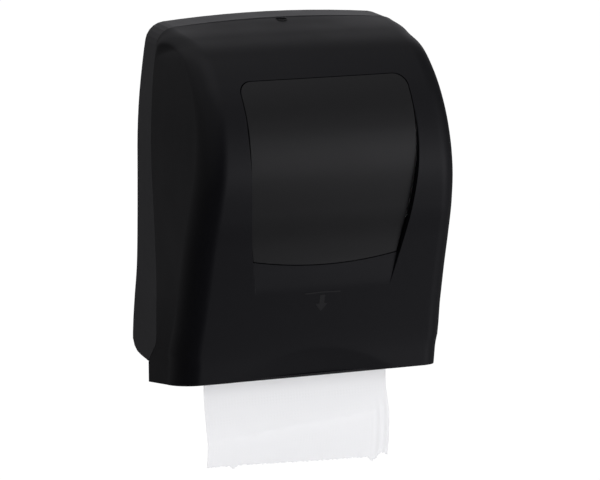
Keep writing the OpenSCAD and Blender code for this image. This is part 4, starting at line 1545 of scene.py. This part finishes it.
@dataclass
class Studio:
    """The camera of the photograph, soft lamps, a pale floor and a white surround.

    Reflections show a light tent that is bright above and in front on the right and dark
    on the left, as with a black card on that side, which draws the cover's corner.
    """

    # The camera, as solved from the photograph's outline
    turn: float = 19.5
    tilt: float = 12.6085
    lens: float = 187.766
    sensor: float = 36.0
    view_end: float = 60.0
    eye_mm: Point = (-1032.1, -3019.2, 842.6)
    # The floor shows as white and still keeps a little of the object's shadow
    floor_drop_mm: float = 320.0
    floor_half: float = 8.0
    floor_colour: str = "#D9D9D9"
    floor_white: float = 1.06
    floor_cover: float = 0.95
    # How bright the room is, and the tent between its patches
    room_level: float = 0.42
    tent_colour: str = "#FBFAFF"
    tent_dim: float = 0.035
    panels: tuple[TentPanel, ...] = (
        TentPanel(40, 10, 70, 0.32),  # for the upper front
        TentPanel(40, -10, 35, 0.45),  # for the front's middle
        TentPanel(40, -30, 50, 0.09),  # for the lower front
        TentPanel(0, 90, 40, 0.225),  # for the curve between the front and the top
        TentPanel(-100, 50, 70, 0.19),  # for the upper left corner
        TentPanel(175, 50, 70, 0.11),  # for the sloping top
        TentPanel(160, 4, 26, 0.37),  # for the flat top, which is seen at a low angle
        TentPanel(100, -50, 70, 0.08),  # for the low front on the right
        TentPanel(-158, -10, 38, 0.04),  # for the left flank
    )
    boxes: tuple[SoftBox, ...] = (
        SoftBox("top_box", (0.4, -2.6, 0.5), (0, -0.15, -0.05), (1.6, 1.2), 35),
        SoftBox("front_box", (0.9, -2.7, -0.1), (0, -0.15, -0.1), (1.4, 1.0), 24),
        SoftBox("rear_box", (-0.6, 2.8, 0.9), (0, -0.05, -0.05), (1.6, 1.2), 14),
    )

    def camera(self) -> None:
        """Sets up the camera."""
        data = bpy.data.cameras.new("camera")
        data.lens = self.lens
        data.sensor_width = self.sensor
        data.clip_end = self.view_end
        eye = bpy.data.objects.new("camera", data)
        x, y, z = self.eye_mm
        eye.location = (x * MM, y * MM, (z - MOUNT_Z) * MM)
        eye.rotation_euler = (math.radians(90 - self.tilt), 0, math.radians(-self.turn))
        bpy.context.scene.collection.objects.link(eye)
        bpy.context.scene.camera = eye

    def lamp(self, box: SoftBox) -> None:
        """Hangs one soft box.

        Args:
            box: The soft box.
        """
        data = bpy.data.lights.new(box.name, "AREA")
        data.shape = "RECTANGLE"
        data.size, data.size_y = box.size
        data.energy = box.watts
        lamp = bpy.data.objects.new(box.name, data)
        lamp.location = box.place
        sight = Vector(box.aim) - Vector(box.place)
        lamp.rotation_euler = sight.to_track_quat("-Z", "Y").to_euler()
        lamp.visible_glossy = False
        bpy.context.scene.collection.objects.link(lamp)

    def tent(self, tree: bpy.types.NodeTree) -> Socket:
        """How bright the tent is in each direction.

        Args:
            tree: The world's node tree.

        Returns:
            The socket that gives the brightness.
        """
        facing = add_node(tree, "TexCoord").outputs["Generated"]
        total: Socket | float = self.tent_dim
        for panel in self.panels:
            near = add_node(
                tree, "VectorMath", operation="DOT_PRODUCT", _0=facing, _1=panel.toward()
            )
            glow = add_node(
                tree, "MapRange", interpolation_type="SMOOTHSTEP",
                Value=near.outputs["Value"], From_Min=math.cos(math.radians(panel.spread)),
                From_Max=1.0, To_Min=0.0, To_Max=panel.level,
            )
            added = add_node(
                tree, "Math", operation="ADD", _0=glow.outputs["Result"], _1=total
            )
            total = added.outputs["Value"]
        return total

    def floor(self) -> None:
        """Lays the pale floor below the towel's tail."""
        low = CAD_BOX[0][2] - self.floor_drop_mm * MM
        signs = ((-1, -1), (1, -1), (1, 1), (-1, 1))
        corners = [(x * self.floor_half, y * self.floor_half, low) for x, y in signs]
        mesh = bpy.data.meshes.new("floor")
        mesh.from_pydata(corners, [], [(0, 1, 2, 3)])
        floor = bpy.data.objects.new("floor", mesh)
        bpy.context.scene.collection.objects.link(floor)
        floor.visible_glossy = False
        material, tree, surface = new_material("pale_floor")
        paper = add_node(tree, "BsdfDiffuse", Color=linear(self.floor_colour))
        white = add_node(tree, "Emission", Color=WHITE, Strength=self.floor_white)
        ray = add_node(tree, "LightPath")
        part = add_node(
            tree, "Math", operation="MULTIPLY", _0=ray.outputs["Is Camera Ray"],
            _1=self.floor_cover,
        )
        mixed = add_node(
            tree, "MixShader", Fac=part.outputs["Value"], _1=paper.outputs["BSDF"],
            _2=white.outputs["Emission"],
        )
        tree.links.new(mixed.outputs["Shader"], surface)
        mesh.materials.append(material)

    def world(self) -> None:
        """Surrounds the set with white and lights the object from all round.

        The camera sees plain white, reflections see the tent, and matt surfaces are lit by
        the room.
        """
        world = bpy.data.worlds.new("surround")
        world.use_nodes = True
        tree = world.node_tree
        tree.nodes.clear()
        ray = add_node(tree, "LightPath")
        shown = add_node(
            tree, "Math", operation="MAXIMUM", _0=ray.outputs["Is Camera Ray"],
            _1=ray.outputs["Is Transmission Ray"],
        )
        room = add_node(tree, "Background", Color=WHITE, Strength=self.room_level)
        tent = add_node(
            tree, "Background", Color=linear(self.tent_colour), Strength=self.tent(tree)
        )
        white = add_node(tree, "Background", Color=WHITE, Strength=1.0)
        lit = add_node(
            tree, "MixShader", Fac=ray.outputs["Is Glossy Ray"],
            _1=room.outputs["Background"], _2=tent.outputs["Background"],
        )
        mixed = add_node(
            tree, "MixShader", Fac=shown.outputs["Value"], _1=lit.outputs["Shader"],
            _2=white.outputs["Background"],
        )
        output = add_node(tree, "OutputWorld")
        tree.links.new(mixed.outputs["Shader"], output.inputs["Surface"])
        bpy.context.scene.world = world

    def build(self) -> None:
        """Sets up the whole studio."""
        bpy.context.scene.view_settings.view_transform = "Standard"
        self.camera()
        self.floor()
        self.world()
        for box in self.boxes:
            self.lamp(box)
        LOG.info("studio ready")


def main() -> None:
    """Builds everything in order."""
    logging.basicConfig(level=logging.INFO, format="%(name)s: %(message)s")
    paint = Paintbox()
    CarriedNodes(paint).build()
    Cover(paint).build()
    Towel(paint).build()
    Studio().build()


if __name__ == "__main__":
    main()
